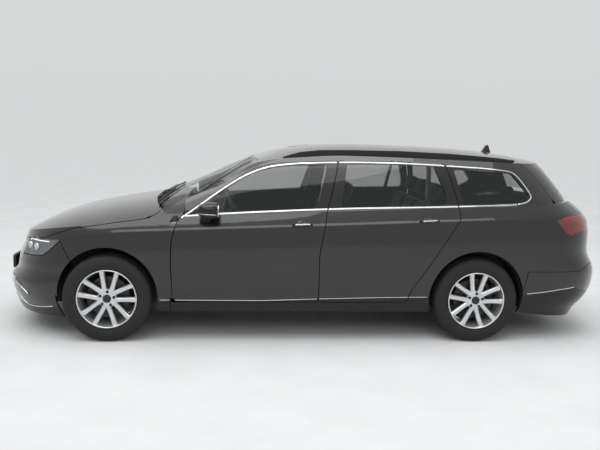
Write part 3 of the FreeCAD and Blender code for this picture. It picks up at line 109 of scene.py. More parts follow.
def finish(name, shades, rough, metal=0.0, cell=3.0, stretch=(1, 1, 1), bump=0.0, pattern="Noise", **sockets):
    # cell is the size of the pattern in mm, bump its depth in mm
    material = bpy.data.materials.new(name)
    material.use_nodes = True
    shader = material.node_tree.nodes["Principled BSDF"]
    place = addNode(material, "TexCoord").outputs["Object"]
    mapped = addNode(material, "Mapping", {"Vector": place, "Scale": stretch}).outputs["Vector"]
    scaled = {"Vector": mapped, "Scale": 1 / (cell * mm)}
    if pattern == "Voronoi":
        source = addNode(material, "TexVoronoi", scaled).outputs["Distance"]
    elif pattern == "Weave":
        thread = {"Vector": mapped, "Scale": 0.3 / (cell * mm), "Distortion": 0.6}
        warp = addNode(material, "TexWave", thread, bands_direction="Z").outputs["Fac"]
        weft = addNode(material, "TexWave", thread, bands_direction="Y").outputs["Fac"]
        source = addNode(material, "Math", {0: warp, 1: weft}, operation="MULTIPLY").outputs["Value"]
    else:
        source = addNode(material, "TexNoise", {**scaled, "Detail": 3.0}).outputs["Fac"]
    ramp = addNode(material, "ValToRGB", {"Fac": source})
    setStops(ramp, *zip((0.25, 0.75), shades))
    material.node_tree.links.new(ramp.outputs["Color"], shader.inputs["Base Color"])
    if isinstance(rough, tuple):
        level = addNode(material, "MapRange", {"Value": source, "To Min": rough[0], "To Max": rough[1]})
        material.node_tree.links.new(level.outputs["Result"], shader.inputs["Roughness"])
    else:
        shader.inputs["Roughness"].default_value = rough
    if bump:
        relief = addNode(material, "Bump", {"Height": source, "Distance": bump * mm, "Strength": 1.0})
        material.node_tree.links.new(relief.outputs["Normal"], shader.inputs["Normal"])
    shader.inputs["Metallic"].default_value = metal
    for key, value in sockets.items():
        shader.inputs[key.replace("_", " ")].default_value = value
    return material


# Finishes, each named for the real one.
finishes = {
    # dark grey metallic lacquer, 0.6 mm flakes
    "car_paint": finish("metallicLacquer", ("#101012", "#1b1b1d"), (0.26, 0.36), 0.6, cell=0.6,
                        pattern="Voronoi", Coat_Weight=1.0, Coat_Roughness=0.02),
    # tinted safety glass, faint 60 mm waviness
    "clear_glass": finish("tintedGlass", ("#141f1a", "#1c2a23"), 0.02, cell=60, Alpha=0.28,
                          Specular_IOR_Level=0.8),
    # clear moulded cover, faint 40 mm waviness
    "lamp_glass": finish("lampCover", ("#c9d0d2", "#dde2e4"), 0.02, cell=40, Alpha=0.16,
                         Specular_IOR_Level=1.0),
    # red moulded lens with a 6 mm rib pattern
    "tail_lens": finish("redLens", ("#4a0509", "#7c0c12"), 0.08, cell=6, stretch=(0.2, 0.2, 1), bump=0.15,
                        Coat_Weight=1.0, Transmission_Weight=0.15),
    # bright plating, its polish uneven over 30 mm
    "chrome": finish("brightChrome", ("#c6c8ca", "#dfe0e1"), (0.06, 0.12), 1.0, cell=30),
    # sidewall rubber, 2 mm mould grain
    "tyre_rubber": finish("tyreRubber", ("#0c0c0c", "#151515"), (0.66, 0.82), cell=2, bump=0.05),
    # cast alloy with silver lacquer, 0.5 mm flakes
    "alloy": finish("silverAlloy", ("#bfc1c3", "#d6d8da"), (0.26, 0.34), 0.8, cell=0.5,
                    pattern="Voronoi", Coat_Weight=0.6, Coat_Roughness=0.08),
    # ground brake iron, 1.5 mm marks
    "disc_iron": finish("groundIron", ("#33312f", "#4d4a47"), (0.35, 0.5), 0.8, cell=1.5, stretch=(1, 0.2, 1),
                        bump=0.02),
    # dipped chassis paint with 8 mm orange peel
    "chassis_paint": finish("chassisPaint", ("#141414", "#1e1e1e"), (0.5, 0.68), cell=8, bump=0.1),
    # aged steel, 12 mm stains drawn out along the car
    "bare_steel": finish("agedSteel", ("#2e2d2c", "#454341"), (0.4, 0.55), 0.8, cell=12, stretch=(0.1, 1, 1),
                         bump=0.03),
    # sand-cast iron, 4 mm grain
    "engine_iron": finish("castIron", ("#3a3937", "#4c4a47"), (0.55, 0.75), 0.6, cell=4, bump=0.2),
    # moulded plastic with a 1.2 mm leather grain
    "black_plastic": finish("grainedPlastic", ("#121212", "#1b1b1b"), (0.42, 0.58), cell=1.2,
                            pattern="Voronoi", bump=0.04),
    # seat fabric, 1.6 mm weave
    "seat_cloth": finish("seatCloth", ("#1d1e20", "#3b3d40"), 0.85, cell=1.6, pattern="Weave", bump=0.12,
                         Sheen_Weight=0.3),
    # anodised rail, 2 mm grain drawn out along the car
    "rail_alloy": finish("anodisedBlack", ("#1a1b1c", "#26282a"), (0.25, 0.33), 0.4, cell=2,
                         stretch=(0.05, 1, 1)),
}
# lamp housing with 3 mm mottling
lampBlack = finish("lampHousing", ("#0e0f10", "#17181a"), (0.18, 0.3), cell=3)
# light guides, dimly lit, 5 mm cloudiness
lampRed = finish("redLightGuide", ("#8c1220", "#a81a2c"), 0.2, cell=5, Emission_Color=linear("#b01828"),
                 Emission_Strength=0.12)
lampWhite = finish("lightGuide", ("#e8ecef", "#f6f8fa"), 0.25, cell=5, Emission_Color=linear("#eef3ff"),
                   Emission_Strength=0.7)
# polished plastic, its gloss uneven over 20 mm; also the painted shade behind the door handles
glossBlack = finish("glossBlack", ("#070707", "#0d0d0d"), (0.08, 0.16), cell=20, Coat_Weight=1.0)
# matt seal rubber, 1.5 mm grain
sealRubber = finish("sealRubber", ("#101010", "#171717"), (0.6, 0.75), cell=1.5, bump=0.03)
paint, chrome, plastic = (finishes[slot] for slot in ("car_paint", "chrome", "black_plastic"))

slotOf = {part["node"]: part["material_slot"] for part in frame["record"]["subparts"]}
for name, node in nodes.items():
    node.data.materials.clear()
    node.data.materials.append(finishes[slotOf[name]])
print("finishes set:", len(finishes))


# Mesh helpers: every shape is a pair of points and faces.
def gridFaces(rows, columns, closedRows=False, closedColumns=False):
    row = np.arange(rows if closedRows else rows - 1)[:, None]
    column = np.arange(columns if closedColumns else columns - 1)[None, :]
    following = (row + 1) % rows
    beside = (column + 1) % columns
    corners = (row * columns + column, following * columns + column,
               following * columns + beside, row * columns + beside)
    return np.stack(np.broadcast_arrays(*corners), -1).reshape(-1, 4).tolist()


def unit(vectors):
    return vectors / np.maximum(np.linalg.norm(vectors, axis=-1, keepdims=True), 1e-9)


def smoothed(rows, times, weight):
    # evens out the rows of an array between its first and its last
    for _ in range(times):
        rows[1:-1] = (rows[:-2] + rows[2:] + weight * rows[1:-1]) / (2 + weight)
    return rows


def sweep(path, outward, section, swell=1.0):
    path = np.asarray(path, float)
    section = np.asarray(section, float)
    along = unit(np.gradient(path, axis=0))
    outward = np.broadcast_to(np.asarray(outward, float), path.shape)
    outward = unit(outward - np.sum(outward * along, 1, keepdims=True) * along)
    across = np.cross(along, outward)
    swell = np.broadcast_to(np.asarray(swell, float).reshape(-1, 1, 1), (len(path), 1, 1))
    offsets = section[None, :, :1] * across[:, None] + section[None, :, 1:] * outward[:, None]
    rings = path[:, None] + swell * offsets
    count = len(section)
    faces = gridFaces(len(path), count, False, True)
    faces += [list(range(count)), list(range((len(path) - 1) * count, len(path) * count))]
    return rings.reshape(-1, 3), faces


def lathe(profile, count):
    angle = np.arange(count) * 2 * np.pi / count
    across, radius = np.asarray(profile, float).T
    points = np.stack(np.broadcast_arrays(radius * np.cos(angle)[:, None], across + 0 * angle[:, None],
                                          radius * np.sin(angle)[:, None]), -1)
    return points.reshape(-1, 3), gridFaces(count, len(radius), True, True)


def merge(shapes):
    points, faces, base = [], [], 0
    for shapePoints, shapeFaces in shapes:
        points.append(np.asarray(shapePoints, float).reshape(-1, 3))
        faces += [[corner + base for corner in face] for face in shapeFaces]
        base += len(points[-1])
    return np.vstack(points), faces


def moved(shape, where=(0, 0, 0), turn=None, scale=(1, 1, 1)):
    points = np.asarray(shape[0], float) * np.asarray(scale, float)
    if turn is not None:
        points = points @ np.asarray(turn, float).T
    return points + np.asarray(where, float), shape[1]


creaseAngle = math.radians(35)


def addPiece(name, shape, material, body, replaced=()):
    points, faces = shape
    mesh = bpy.data.meshes.new(name)
    mesh.from_pydata(np.asarray(points).tolist(), [], faces)
    work = bmesh.new()
    work.from_mesh(mesh)
    bmesh.ops.remove_doubles(work, verts=work.verts, dist=1e-6)
    bmesh.ops.recalc_face_normals(work, faces=work.faces)
    work.to_mesh(mesh)
    work.free()
    mesh.materials.append(material)
    piece = bpy.data.objects.new(name, mesh)
    bpy.context.scene.collection.objects.link(piece)
    mesh.polygons.foreach_set("use_smooth", [True] * len(mesh.polygons))
    mesh.set_sharp_from_angle(angle=creaseAngle)
    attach(piece, body)
    if replaced:
        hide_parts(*replaced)
    return piece


def slab(low, high):
    points = [(x, y, z) for x in (low[0], high[0]) for y in (low[1], high[1]) for z in (low[2], high[2])]
    faces = [[0, 1, 3, 2], [4, 6, 7, 5], [0, 4, 5, 1], [2, 3, 7, 6], [0, 2, 6, 4], [1, 5, 7, 3]]
    return np.array(points), faces


def rounded(width, height, radius, steps=4):
    angles = np.linspace(0, np.pi / 2, steps)
    corners = [(1, 1, 0), (-1, 1, 1), (-1, -1, 2), (1, -1, 3)]
    points = [(sx * (width / 2 - radius) + radius * np.cos(angle + quarter * np.pi / 2),
               sy * (height / 2 - radius) + radius * np.sin(angle + quarter * np.pi / 2))
              for sx, sy, quarter in corners for angle in angles]
    return np.array(points)


# The faces of some nodes as one tree, with the node of each face, so that trim lies on what carries it
# and rides with it.
def skinTree(names):
    points, faces, owners = [], [], []
    for name in names:
        mesh = nodes[name].data
        base = len(points)
        points += [v.co for v in mesh.vertices]
        faces += [[base + corner for corner in polygon.vertices] for polygon in mesh.polygons]
        owners += [name] * len(mesh.polygons)
    return BVHTree.FromPolygons(points, faces), owners


bodyOf = {name: node["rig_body"] for name, node in nodes.items()}
outerNames = [name for name in nodes if slotOf[name] in ("car_paint", "clear_glass") and "mirror" not in name]
skin, owners = skinTree(outerNames)


def inset(pairs, distance):
    # moves a line of x, z pairs sideways, to the left of its own direction
    pairs = np.asarray(pairs, float)
    along = unit(np.gradient(pairs, axis=0))
    return pairs + distance * np.stack([-along[:, 1], along[:, 0]], 1)


def respaced(rows, places, step, least):
    # the rows again at even steps along the line that their first columns, the places, draw
    legs = np.linalg.norm(np.diff(rows[:, :places], axis=0), axis=1)
    lengths = np.concatenate([[0], np.cumsum(legs)])
    at = np.linspace(0, lengths[-1], max(least, int(lengths[-1] / step)))
    return np.stack([np.interp(at, lengths, column) for column in rows.T], 1)


noHit = -9.0  # stands for the reach of a ray that met nothing


def trace(pairs, side, step=0.01):
    # follows x, z pairs in mm along one side and gives a run of points and outward directions for each
    # body. Where the skin falls back by more than 20 mm, as in a gap, no point is kept.
    fallBack, neighbours = 0.02, 3
    found = []
    for x, z in smoothed(respaced(np.asarray(pairs, float) * mm, 2, step, 3), 6, 2):
        hit, normal, index, _ = skin.ray_cast(Vector((x, side * 2, z)), Vector((0, -side, 0)))
        if hit is None:
            found.append((x, noHit, z, 0, side, 0, ""))
            continue
        if normal.y * side < 0:
            normal = -normal
        found.append((x, hit.y * side, z, *normal, bodyOf[owners[index]]))
    depth = np.array([row[1] for row in found])
    reach = np.array([depth[max(0, i - neighbours):i + neighbours + 1].max() for i in range(len(depth))])
    runs = []
    for row, best in zip(found, reach):
        if not row[6] or row[1] < best - fallBack:
            continue
        if not runs or runs[-1][0] != row[6]:
            runs.append((row[6], [], []))
        runs[-1][1].append((row[0], row[1] * side, row[2]))
        runs[-1][2].append(row[3:6])
    return [(body, np.array(points), np.array(outward)) for body, points, outward in runs if len(points) > 2]


def addTrim(name, pairs, section, material, lift):
    # one mirrored strip on each side, cut where the doors part
    for side, hand in sides:
        parts = {}
        for body, points, outward in trace(pairs, side):
            outward = smoothed(outward, 3, 1)
            parts.setdefault(body, []).append(sweep(points + unit(outward) * lift, outward, section))
        for body, shapes in parts.items():
            where = "" if body == "car_body" else "_" + body
            addPiece(name + "_" + hand + where, merge(shapes), material, body)


def addFlange(side, hand):
    # a narrow return of the fender towards the front door, 2.5 mm thick and 5 mm clear of the edge that
    # swings past it. Both edges are searched for along x, at each height.
    hingeX, hingeY = 1.0205, 0.889
    clearance, gap, sheet, overlap = 0.005, 0.0055, 0.0025, 0.004
    fallAway, widest = 0.0016, 0.13
    searches = (("front_door", np.arange(0.94, 1.12, 0.001)), ("fender", np.arange(1.125, 0.98, -0.001)))
    rows = []
    for z in np.linspace(0.335, 0.955, 110):
        edges = []
        for owner, places in searches:
            edge = None
            for x in places:
                hit, _, index, _ = skin.ray_cast(Vector((x, side * 2, z)), Vector((0, -side, 0)))
                flush = hit is not None and owners[index].startswith(owner)
                if edge and (not flush or edge[1] - hit.y * side > fallAway):
                    break
                if flush:
                    edge = (x, hit.y * side)
            edges.append(edge)
        door, wing = edges
        if door and wing and 0 < wing[0] - door[0] < widest:
            swing = math.hypot(door[0] - hingeX, door[1] - hingeY) + clearance
            across = max(0, door[1] - sheet - hingeY)
            swept = hingeX + math.sqrt(max(0, swing ** 2 - across ** 2)) if across else 0
            start = max(door[0] + gap, swept)
            rows.append((min(start, wing[0] + 0.001), door[1], *wing, z))
    start, startDepth, end, endDepth, z = smoothed(np.array(rows), 3, 1).T
    corners = [(start, startDepth - 0.0005), (end + overlap, endDepth - 0.0007),
               (end + overlap, endDepth - sheet), (start, startDepth - sheet)]
    points = np.stack([np.stack([x, side * y, z], 1) for x, y in corners], 1).reshape(-1, 3)
    faces = gridFaces(len(rows), 4, False, True) + [[0, 1, 2, 3], list(range(len(points) - 4, len(points)))]
    addPiece("fenderReturn_" + hand, (points, faces), paint, "car_body")


for side, hand in sides:
    addFlange(side, hand)
print("fender returns laid")

# Lines read off the photograph, in its pixels, are sent from the camera on to the skin that carries them.
centreX, centreY, focalPixels = 300, 225, 707.85


def pixelPath(pixels, tree):
    # points 12 mm apart along the line, and the skin's outward direction at each
    turn = viewer.matrix_world.to_3x3()
    hits = []
    for px, py in pixels:
        ray = turn @ Vector((px - centreX, centreY - py, -focalPixels)).normalized()
        hit, normal, _, _ = tree.ray_cast(eye, ray)
        if hit is not None:
            hits.append((*hit, *normal))
    dense = respaced(np.array(hits), 3, 0.012, 4)
    for n, place in enumerate(dense[:, :3]):
        near, normal, _, _ = tree.find_nearest(Vector(place))
        dense[n] = (*near, *normal)
    dense = smoothed(dense, 4, 2)
    return dense[:, :3], dense[:, 3:]


# Window surround: a bright strip above and below the side windows, 8.5 and 7 mm inside their outline.
upperLine = [(980, 941), (917, 985), (845, 1036), (773, 1088), (700, 1139), (627, 1187), (553, 1232),
             (478, 1269), (403, 1298), (327, 1320), (251, 1332), (174, 1341), (98, 1348), (-56, 1356),
             (-210, 1361), (-364, 1364), (-675, 1365), (-987, 1355), (-1303, 1340), (-1462, 1328),
             (-1542, 1318), (-1580, 1302), (-1615, 1265), (-1650, 1217), (-1685, 1165), (-1706, 1124),
             (-1692, 1098), (-1645, 1072), (-1578, 1061)]
lowerLine = [(951, 938), (696, 959), (401, 978), (103, 995), (-121, 1006), (-347, 1016), (-652, 1026),
             (-960, 1036), (-1265, 1047), (-1498, 1055), (-1578, 1061)]
upperLine = inset(upperLine, 8.5)
lowerLine = inset(lowerLine, -7)
addTrim("windowStripUpper", upperLine, rounded(11 * mm, 5 * mm, 2 * mm, 3), chrome, 1 * mm)
addTrim("windowStripLower", lowerLine, rounded(13 * mm, 6 * mm, 2.4 * mm, 3), chrome, 1 * mm)

# Sill strip, held above the doors' lower edge, in mm, so that it doesn't break at their gap.
doorEdge = 321
sillPixels = [(160, 303.6), (215, 302.0), (270, 300.2), (330, 298.5), (380, 297.4), (427, 297.0)]
sillLine = pixelPath(sillPixels, skin)[0][:, [0, 2]] / mm
sillLine[:, 1] = np.maximum(sillLine[:, 1], doorEdge)
addTrim("sillStrip", sillLine, rounded(6 * mm, 5 * mm, 2 * mm, 3), chrome, 1 * mm)


def curveOf(material, place, span, pairs, heights):
    # height of a line of x, z pairs in mm over the length of the car, as a curve node. Span and heights
    # are in metres and bound the curve, whose own values run from 0 to 1.
    low, high = heights
    share = addNode(material, "MapRange", {"Value": place, "From Min": span[0], "From Max": span[1]})
    curve = addNode(material, "FloatCurve", {"Value": share.outputs["Result"]})
    points = curve.mapping.curves[0].points
    for x, z in pairs:
        point = points.new((x * mm - span[0]) / (span[1] - span[0]), (z * mm - low) / (high - low))
        point.handle_type = "VECTOR"
    curve.mapping.update()
    scaled = addNode(material, "MapRange", {"Value": curve.outputs["Value"], "To Min": low, "To Max": high})
    return scaled.outputs["Result"]


def darkenPaint(material):
    # gloss black on the pillars and frames between the two bright strips, and along the lower edge all
    # round, below the sill strip and the blades of the bumpers. On the bumpers this lower black is their
    # black valance; along the sills and door bottoms it is painted shade, for the shade under the car's sides
    shader = material.node_tree.nodes["Principled BSDF"]
    place = addNode(material, "SeparateXYZ", {"Vector": addNode(material, "TexCoord").outputs["Object"]})
    x, z = place.outputs["X"], place.outputs["Z"]
    span, heights = (-1.75, 1.05), (0.9, 1.4)
    top = curveOf(material, x, span, upperLine[:26][::-1], heights)
    low = curveOf(material, x, span, np.vstack([lowerLine, upperLine[26:28][::-1]])[::-1], heights)
    rearmost, foremost = -1.70, 0.965
    limits = ((z, top, "LESS_THAN"), (z, low, "GREATER_THAN"), (x, rearmost, "GREATER_THAN"),
              (x, foremost, "LESS_THAN"))
    tests = [addNode(material, "Math", {0: value, 1: limit}, operation=kind).outputs["Value"]
             for value, limit, kind in limits]
    dark = tests[0]
    for test in tests[1:]:
        dark = addNode(material, "Math", {0: dark, 1: test}, operation="MULTIPLY").outputs["Value"]
    # the lower edge: below it the paint turns black, the bumpers' valance and painted shade on the sills and
    # doors
    tail, nose = (-2390, 330), (2390, 232)
    rim = np.vstack([[tail], bladeRear[[0, -1]], sillLine[::-1][::12], bladeFront[-1:], [nose]])
    rim = rim[np.argsort(rim[:, 0])] - (0, 5)
    edge = curveOf(material, x, (-2.4, 2.4), rim, (0.1, 0.5))
    below = addNode(material, "Math", {0: z, 1: edge}, operation="LESS_THAN").outputs["Value"]
    dark = addNode(material, "Math", {0: dark, 1: below}, operation="MAXIMUM").outputs["Value"]
    lacquer = shader.inputs["Base Color"].links[0].from_socket
    mixed = addNode(material, "Mix", {0: dark, 6: lacquer, 7: linear("#0a0a0b")}, data_type="RGBA")
    material.node_tree.links.new(mixed.outputs[2], shader.inputs["Base Color"])
    for socket, painted, black in (("Metallic", 0.6, 0.0), ("Coat Weight", 1.0, 0.5),
                                   ("Specular IOR Level", 0.5, 0.2)):
        level = addNode(material, "MapRange", {"Value": dark, "To Min": painted, "To Max": black})
        material.node_tree.links.new(level.outputs["Result"], shader.inputs[socket])


bumpers, _ = skinTree(["front_bumper", "rear_bumper", "grille"])
frontBladePixels = [(19.5, 292), (23, 298.5), (28, 303.5), (34, 305.5), (53, 306)]
rearBladePixels = [(527, 294), (545, 292), (560, 289.5), (574, 287)]
bladeFront = pixelPath(frontBladePixels, bumpers)[0][:, [0, 2]] / mm
bladeRear = pixelPath(rearBladePixels, bumpers)[0][:, [0, 2]] / mm
darkenPaint(paint)
print("edges darkened")


def addPixelTrim(name, pixels, section, material, tree, lift=0.0):
    points, outward = pixelPath(pixels, tree)
    for side, hand in sides:
        mirror = np.array([1, side, 1])
        shape = sweep((points + unit(outward) * lift) * mirror, outward * mirror, section)
        addPiece(name + "_" + hand, shape, material, "car_body")


ductPixels = [(16, 279), (20, 284), (26, 290), (29, 294)]
beadPixels = [(17, 281), (21, 285.5), (26, 290.5), (28.5, 293.5)]
addPixelTrim("frontBlade", frontBladePixels, rounded(11 * mm, 5 * mm, 2 * mm, 3), chrome, bumpers,
             1.5 * mm)
addPixelTrim("rearBlade", rearBladePixels, rounded(7 * mm, 5 * mm, 2 * mm, 3), chrome, bumpers)
addPixelTrim("frontDuct", ductPixels, rounded(34 * mm, 6 * mm, 2 * mm, 3), glossBlack,
             bumpers, 1 * mm)
addPixelTrim("ductBead", beadPixels, rounded(8 * mm, 5 * mm, 2 * mm, 3), chrome, bumpers, 4 * mm)

# Door handles: a bar that leaves the skin at both ends, a bright insert, and a gloss black strip
# behind the bar that is painted shade for the hollow of the handle.
standOff, sunk = 0.034, 0.004
for side, hand in sides:
    for door, ends in (("front_door_", [(158, 893), (14, 901)]), ("rear_door_", [(-795, 933), (-942, 943)])):
        _, points, outward = max(trace(ends, side, 0.006), key=lambda run: len(run[1]))
        share = np.linspace(0, 1, len(points))
        rise = standOff * np.clip(np.minimum(share, 1 - share) * 7, 0, 1) ** 0.6
        path = points + unit(outward) * (rise[:, None] - sunk)
        swell = 0.78 + 0.22 * np.sin(share * math.pi) ** 0.5
        bar = sweep(path, outward, rounded(27 * mm, 12 * mm, 5 * mm, 5), swell)
        addPiece("handle_" + door + hand, bar, paint, door + hand)
        beadPath = path[3:-3] + unit(outward)[3:-3] * 5.6 * mm
        bead = sweep(beadPath, outward[3:-3], rounded(7 * mm, 4 * mm, 1.6 * mm, 3))
        addPiece("handleBead_" + door + hand, bead, chrome, door + hand)
        # painted shade: a thin gloss black band on the skin around the bar stands for the shade in the
        # handle's hollow
        middle = slice(len(points) // 4, len(points) * 3 // 4)
        hollow = points[middle] + np.array((0, 0, 0.012))
        swell = 0.25 + 0.75 * np.sin(np.linspace(0.05, 1, len(hollow)) * math.pi) ** 0.5
        shadeStrip = sweep(hollow, outward[middle], rounded(46 * mm, 3 * mm, 1.4 * mm, 3), swell)
        addPiece("handleShadeStrip_" + door + hand, shadeStrip, glossBlack, door + hand)
print("trim laid")

# Wheels: tyre with tread, rim with five pairs of spokes, bolts and cap.
tyreRadius = 0.328


def tyreShape():
    grooveDepth, slotDepth, shoulderDepth = 0.0075, 0.006, 0.003
    outline = [(-0.092, 0.2205), (-0.101, 0.226), (-0.1075, 0.250), (-0.1068, 0.275), (-0.101, 0.298),
               (-0.093, 0.313), (-0.083, 0.3215), (-0.070, 0.3255)]
    tread = [(x, tyreRadius - 0.0025 * (x / 0.07) ** 2) for x in np.linspace(-0.066, 0.066, 45)]
    other = [(-x, r) for x, r in reversed(outline)]
    inner = [(0.080, 0.2203), (-0.080, 0.2203)]
    across, radius = np.array(outline + tread + other + inner).T
    count, blocks = 288, 6
    turn = np.arange(count)[:, None]
    angle = turn * 2 * np.pi / count
    depth = np.zeros((count, len(radius)))
    for groove in (-0.046, -0.016, 0.016, 0.046):
        depth += np.where(np.abs(across - groove) < 0.0042, grooveDepth, 0)
    slots = np.abs((turn + np.abs(across) * 90) % blocks - blocks / 2) < 0.8
    depth = np.maximum(depth, np.where(slots & (np.abs(across) > 0.02), slotDepth, 0))
    isTread = (np.abs(across) < 0.0665) & (radius > 0.3)
    isShoulder = (np.abs(across) > 0.082) & (radius > 0.305)
    radii = radius - np.where(isTread, depth, 0)
    radii = radii - np.where(isShoulder & (turn % blocks < 2), shoulderDepth, 0)
    points = np.stack([radii * np.cos(angle), across + 0 * radii, radii * np.sin(angle)], -1)
    return points.reshape(-1, 3), gridFaces(count, len(radius), True, True)


def rimShape():
    barrel = [(0.098, 0.2195), (0.104, 0.2195), (0.105, 0.2165), (0.103, 0.2115), (0.097, 0.2085),
              (0.088, 0.2065), (0.070, 0.2030), (0.040, 0.1950), (-0.090, 0.1950), (-0.098, 0.2060),
              (-0.100, 0.2195), (-0.090, 0.2195), (-0.040, 0.2050), (0.060, 0.2090), (0.090, 0.2150)]
    return lathe(barrel, 120)


def spokeShape(angle):
    # one pair of arms that straddle a bolt at the hub and part towards the rim
    face = [(-0.020, -0.030), (-0.0185, -0.009), (-0.012, -0.001), (0.012, -0.001), (0.0185, -0.009),
            (0.020, -0.030)]
    hubEnd, reach = 0.028, 0.1725
    shapes = []
    for lean in (-1, 1):
        share = np.linspace(0, 1, 22)
        along = hubEnd + share * reach
        across = lean * (0.0195 + share * 0.036)
        x = along * math.cos(angle) - across * math.sin(angle)
        z = along * math.sin(angle) + across * math.cos(angle)
        y = 0.0905 - 0.007 * np.sin(share * math.pi) + 0.004 * share ** 3
        shapes.append(sweep(np.stack([x, y, z], 1), (0, 1, 0), face, 0.92 + 0.16 * (2 * share - 1) ** 2))
    return merge(shapes)


pairAngles = [math.radians(23 + 72 * pair) for pair in range(5)]


def wheelShape():
    hub = [(0.050, 0.030), (0.050, 0.072), (0.078, 0.072), (0.0865, 0.067), (0.0895, 0.058), (0.0895, 0.036),
           (0.083, 0.033), (0.083, 0.030)]
    return merge([rimShape(), lathe(hub, 60)] + [spokeShape(angle) for angle in pairAngles])


def capShape():
    profile = [(0.060, 0.0005), (0.060, 0.0295), (0.086, 0.0295), (0.0885, 0.027), (0.0895, 0.020),
               (0.090, 0.0005)]
    return lathe(profile, 48)


def boltShape():
    boltCircle = 0.0535
    profile = [(0.060, 0.0005), (0.060, 0.0115), (0.0925, 0.0115), (0.0925, 0.0098), (0.0905, 0.0092),
               (0.0905, 0.0005)]
    return merge([moved(lathe(profile, 20), (boltCircle * math.cos(angle), 0, boltCircle * math.sin(angle)))
                  for angle in pairAngles])


wheelParts = {
    "tyreTread": (tyreShape(), finishes["tyre_rubber"], "tyre_rubber", "tyre_"),
    "alloyWheel": (wheelShape(), finishes["alloy"], "alloy", "wheel_"),
    "hubCap": (capShape(), plastic, "black_plastic", ""),
    "boltCups": (boltShape(), lampBlack, "black_plastic", ""),
}
for corner in ("front_left", "front_right", "rear_left", "rear_right"):
    low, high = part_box("tyre_" + corner)
    centre = (low + high) / 2
    side = 1 if centre.y > 0 else -1
    for name, (shape, material, slot, stem) in wheelParts.items():
        placed = moved(shape, centre, scale=(1, side, 1))
        replaced = [stem + corner] if stem else ()
        addPiece(name + "_" + corner, placed, material, "wheel_" + corner, replaced)

# Wheelhouse liners over the rear wheels: felted sheets 2 mm inside the arch cut, which is centred a
# little above the wheel.
linerRadius, linerRise, thinning = 0.3665, 0.016, 0.993
for side, hand in sides:
    low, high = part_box("tyre_rear_" + hand)
    middle = (low + high) / 2
    pivot = np.array((middle.x, 0, middle.z + linerRise))
    turn = np.radians(np.linspace(-13, 193, 80))
    archX, archZ = pivot[0] + linerRadius * np.cos(turn), pivot[2] + linerRadius * np.sin(turn)
    rings = [np.stack([archX, np.full(len(turn), side * y), archZ], 1) for y in (0.635, 0.862)]
    inner = [(ring - pivot) * (thinning, 1, thinning) + pivot for ring in rings]
    shell = np.stack([rings[0], rings[1], inner[1], inner[0]], 1).reshape(-1, 3)
    caps = [[0, 1, 2, 3], list(range(len(shell) - 4, len(shell)))]
    faces = gridFaces(len(turn), 4, False, True) + caps
    addPiece("wheelhouseLiner_" + hand, (shell, faces), sealRubber, "car_body")
print("wheels made")

# Headlamps: a dark housing behind the cover, two lenses and a light guide along the upper edge.
lampTree, _ = skinTree(["headlamps"])


def lampPoint(side, u, z, sink):
    # u runs from the nose, 0, to the rear tip, 1, and sink is the depth below the cover
    ray = Vector((-0.55, -side * 0.83, 0)).normalized()
    start = Vector((2.30 - 0.42 * u, side * (0.56 + 0.26 * u), z))
    hit, normal, _, _ = lampTree.ray_cast(start - ray, ray)
    return None if hit is None else np.array(hit) - np.array(normal) * sink


lensProfile = [(0.0, 0.0005), (0.006, 0.012), (0.009, 0.020), (0.011, 0.026), (0.004, 0.028), (-0.004, 0.024),
               (-0.004, 0.0005)]
for side, hand in sides:
    grid, index = [], {}
    for a, u in enumerate(np.linspace(0, 1, 46)):
        for b, z in enumerate(np.linspace(0.615, 0.75, 22)):
            point = lampPoint(side, u, z, 0.020)
            if point is not None:
                index[a, b] = len(grid)
                grid.append(point)
    quads = [((a, b), (a + 1, b), (a + 1, b + 1), (a, b + 1)) for a, b in index]
    faces = [[index[corner] for corner in quad] for quad in quads if all(corner in index for corner in quad)]
    addPiece("lampHousing_" + hand, (np.array(grid), faces), lampBlack, "car_body")
    guide = [lampPoint(side, u, 0.722 + 0.012 * u, 0.009) for u in np.linspace(0.12, 0.80, 40)]
    guide = np.array([point for point in guide if point is not None])
    strip = sweep(guide, (0.5, side, 0), rounded(7 * mm, 5 * mm, 2 * mm, 3))
    addPiece("lampGuide_" + hand, strip, lampWhite, "car_body")
    aim = Vector((0.75, side * 0.66, 0)).to_track_quat("Y", "Z").to_matrix()
    for n, u in enumerate((0.30, 0.52)):
        lens = moved(lathe(lensProfile, 40), lampPoint(side, u, 0.682, 0.016), aim)
        addPiece("lampLens%d_" % n + hand, lens, chrome, "car_body")

# Tail lamps: a light guide along the upper edge of each outer lens.
tailTree, _ = skinTree(["tail_lamps_outer"])
guidePixels = [(563, 219.5), (570, 217.5), (580, 217)]
addPixelTrim("tailGuide", guidePixels, rounded(13 * mm, 4 * mm, 1.6 * mm, 3), lampRed, tailTree,
             0.5 * mm)
print("lamps made")


def squarish(value):
    # bends a sine or cosine towards a box with round corners
    return np.sign(value) * np.abs(value) ** 0.72


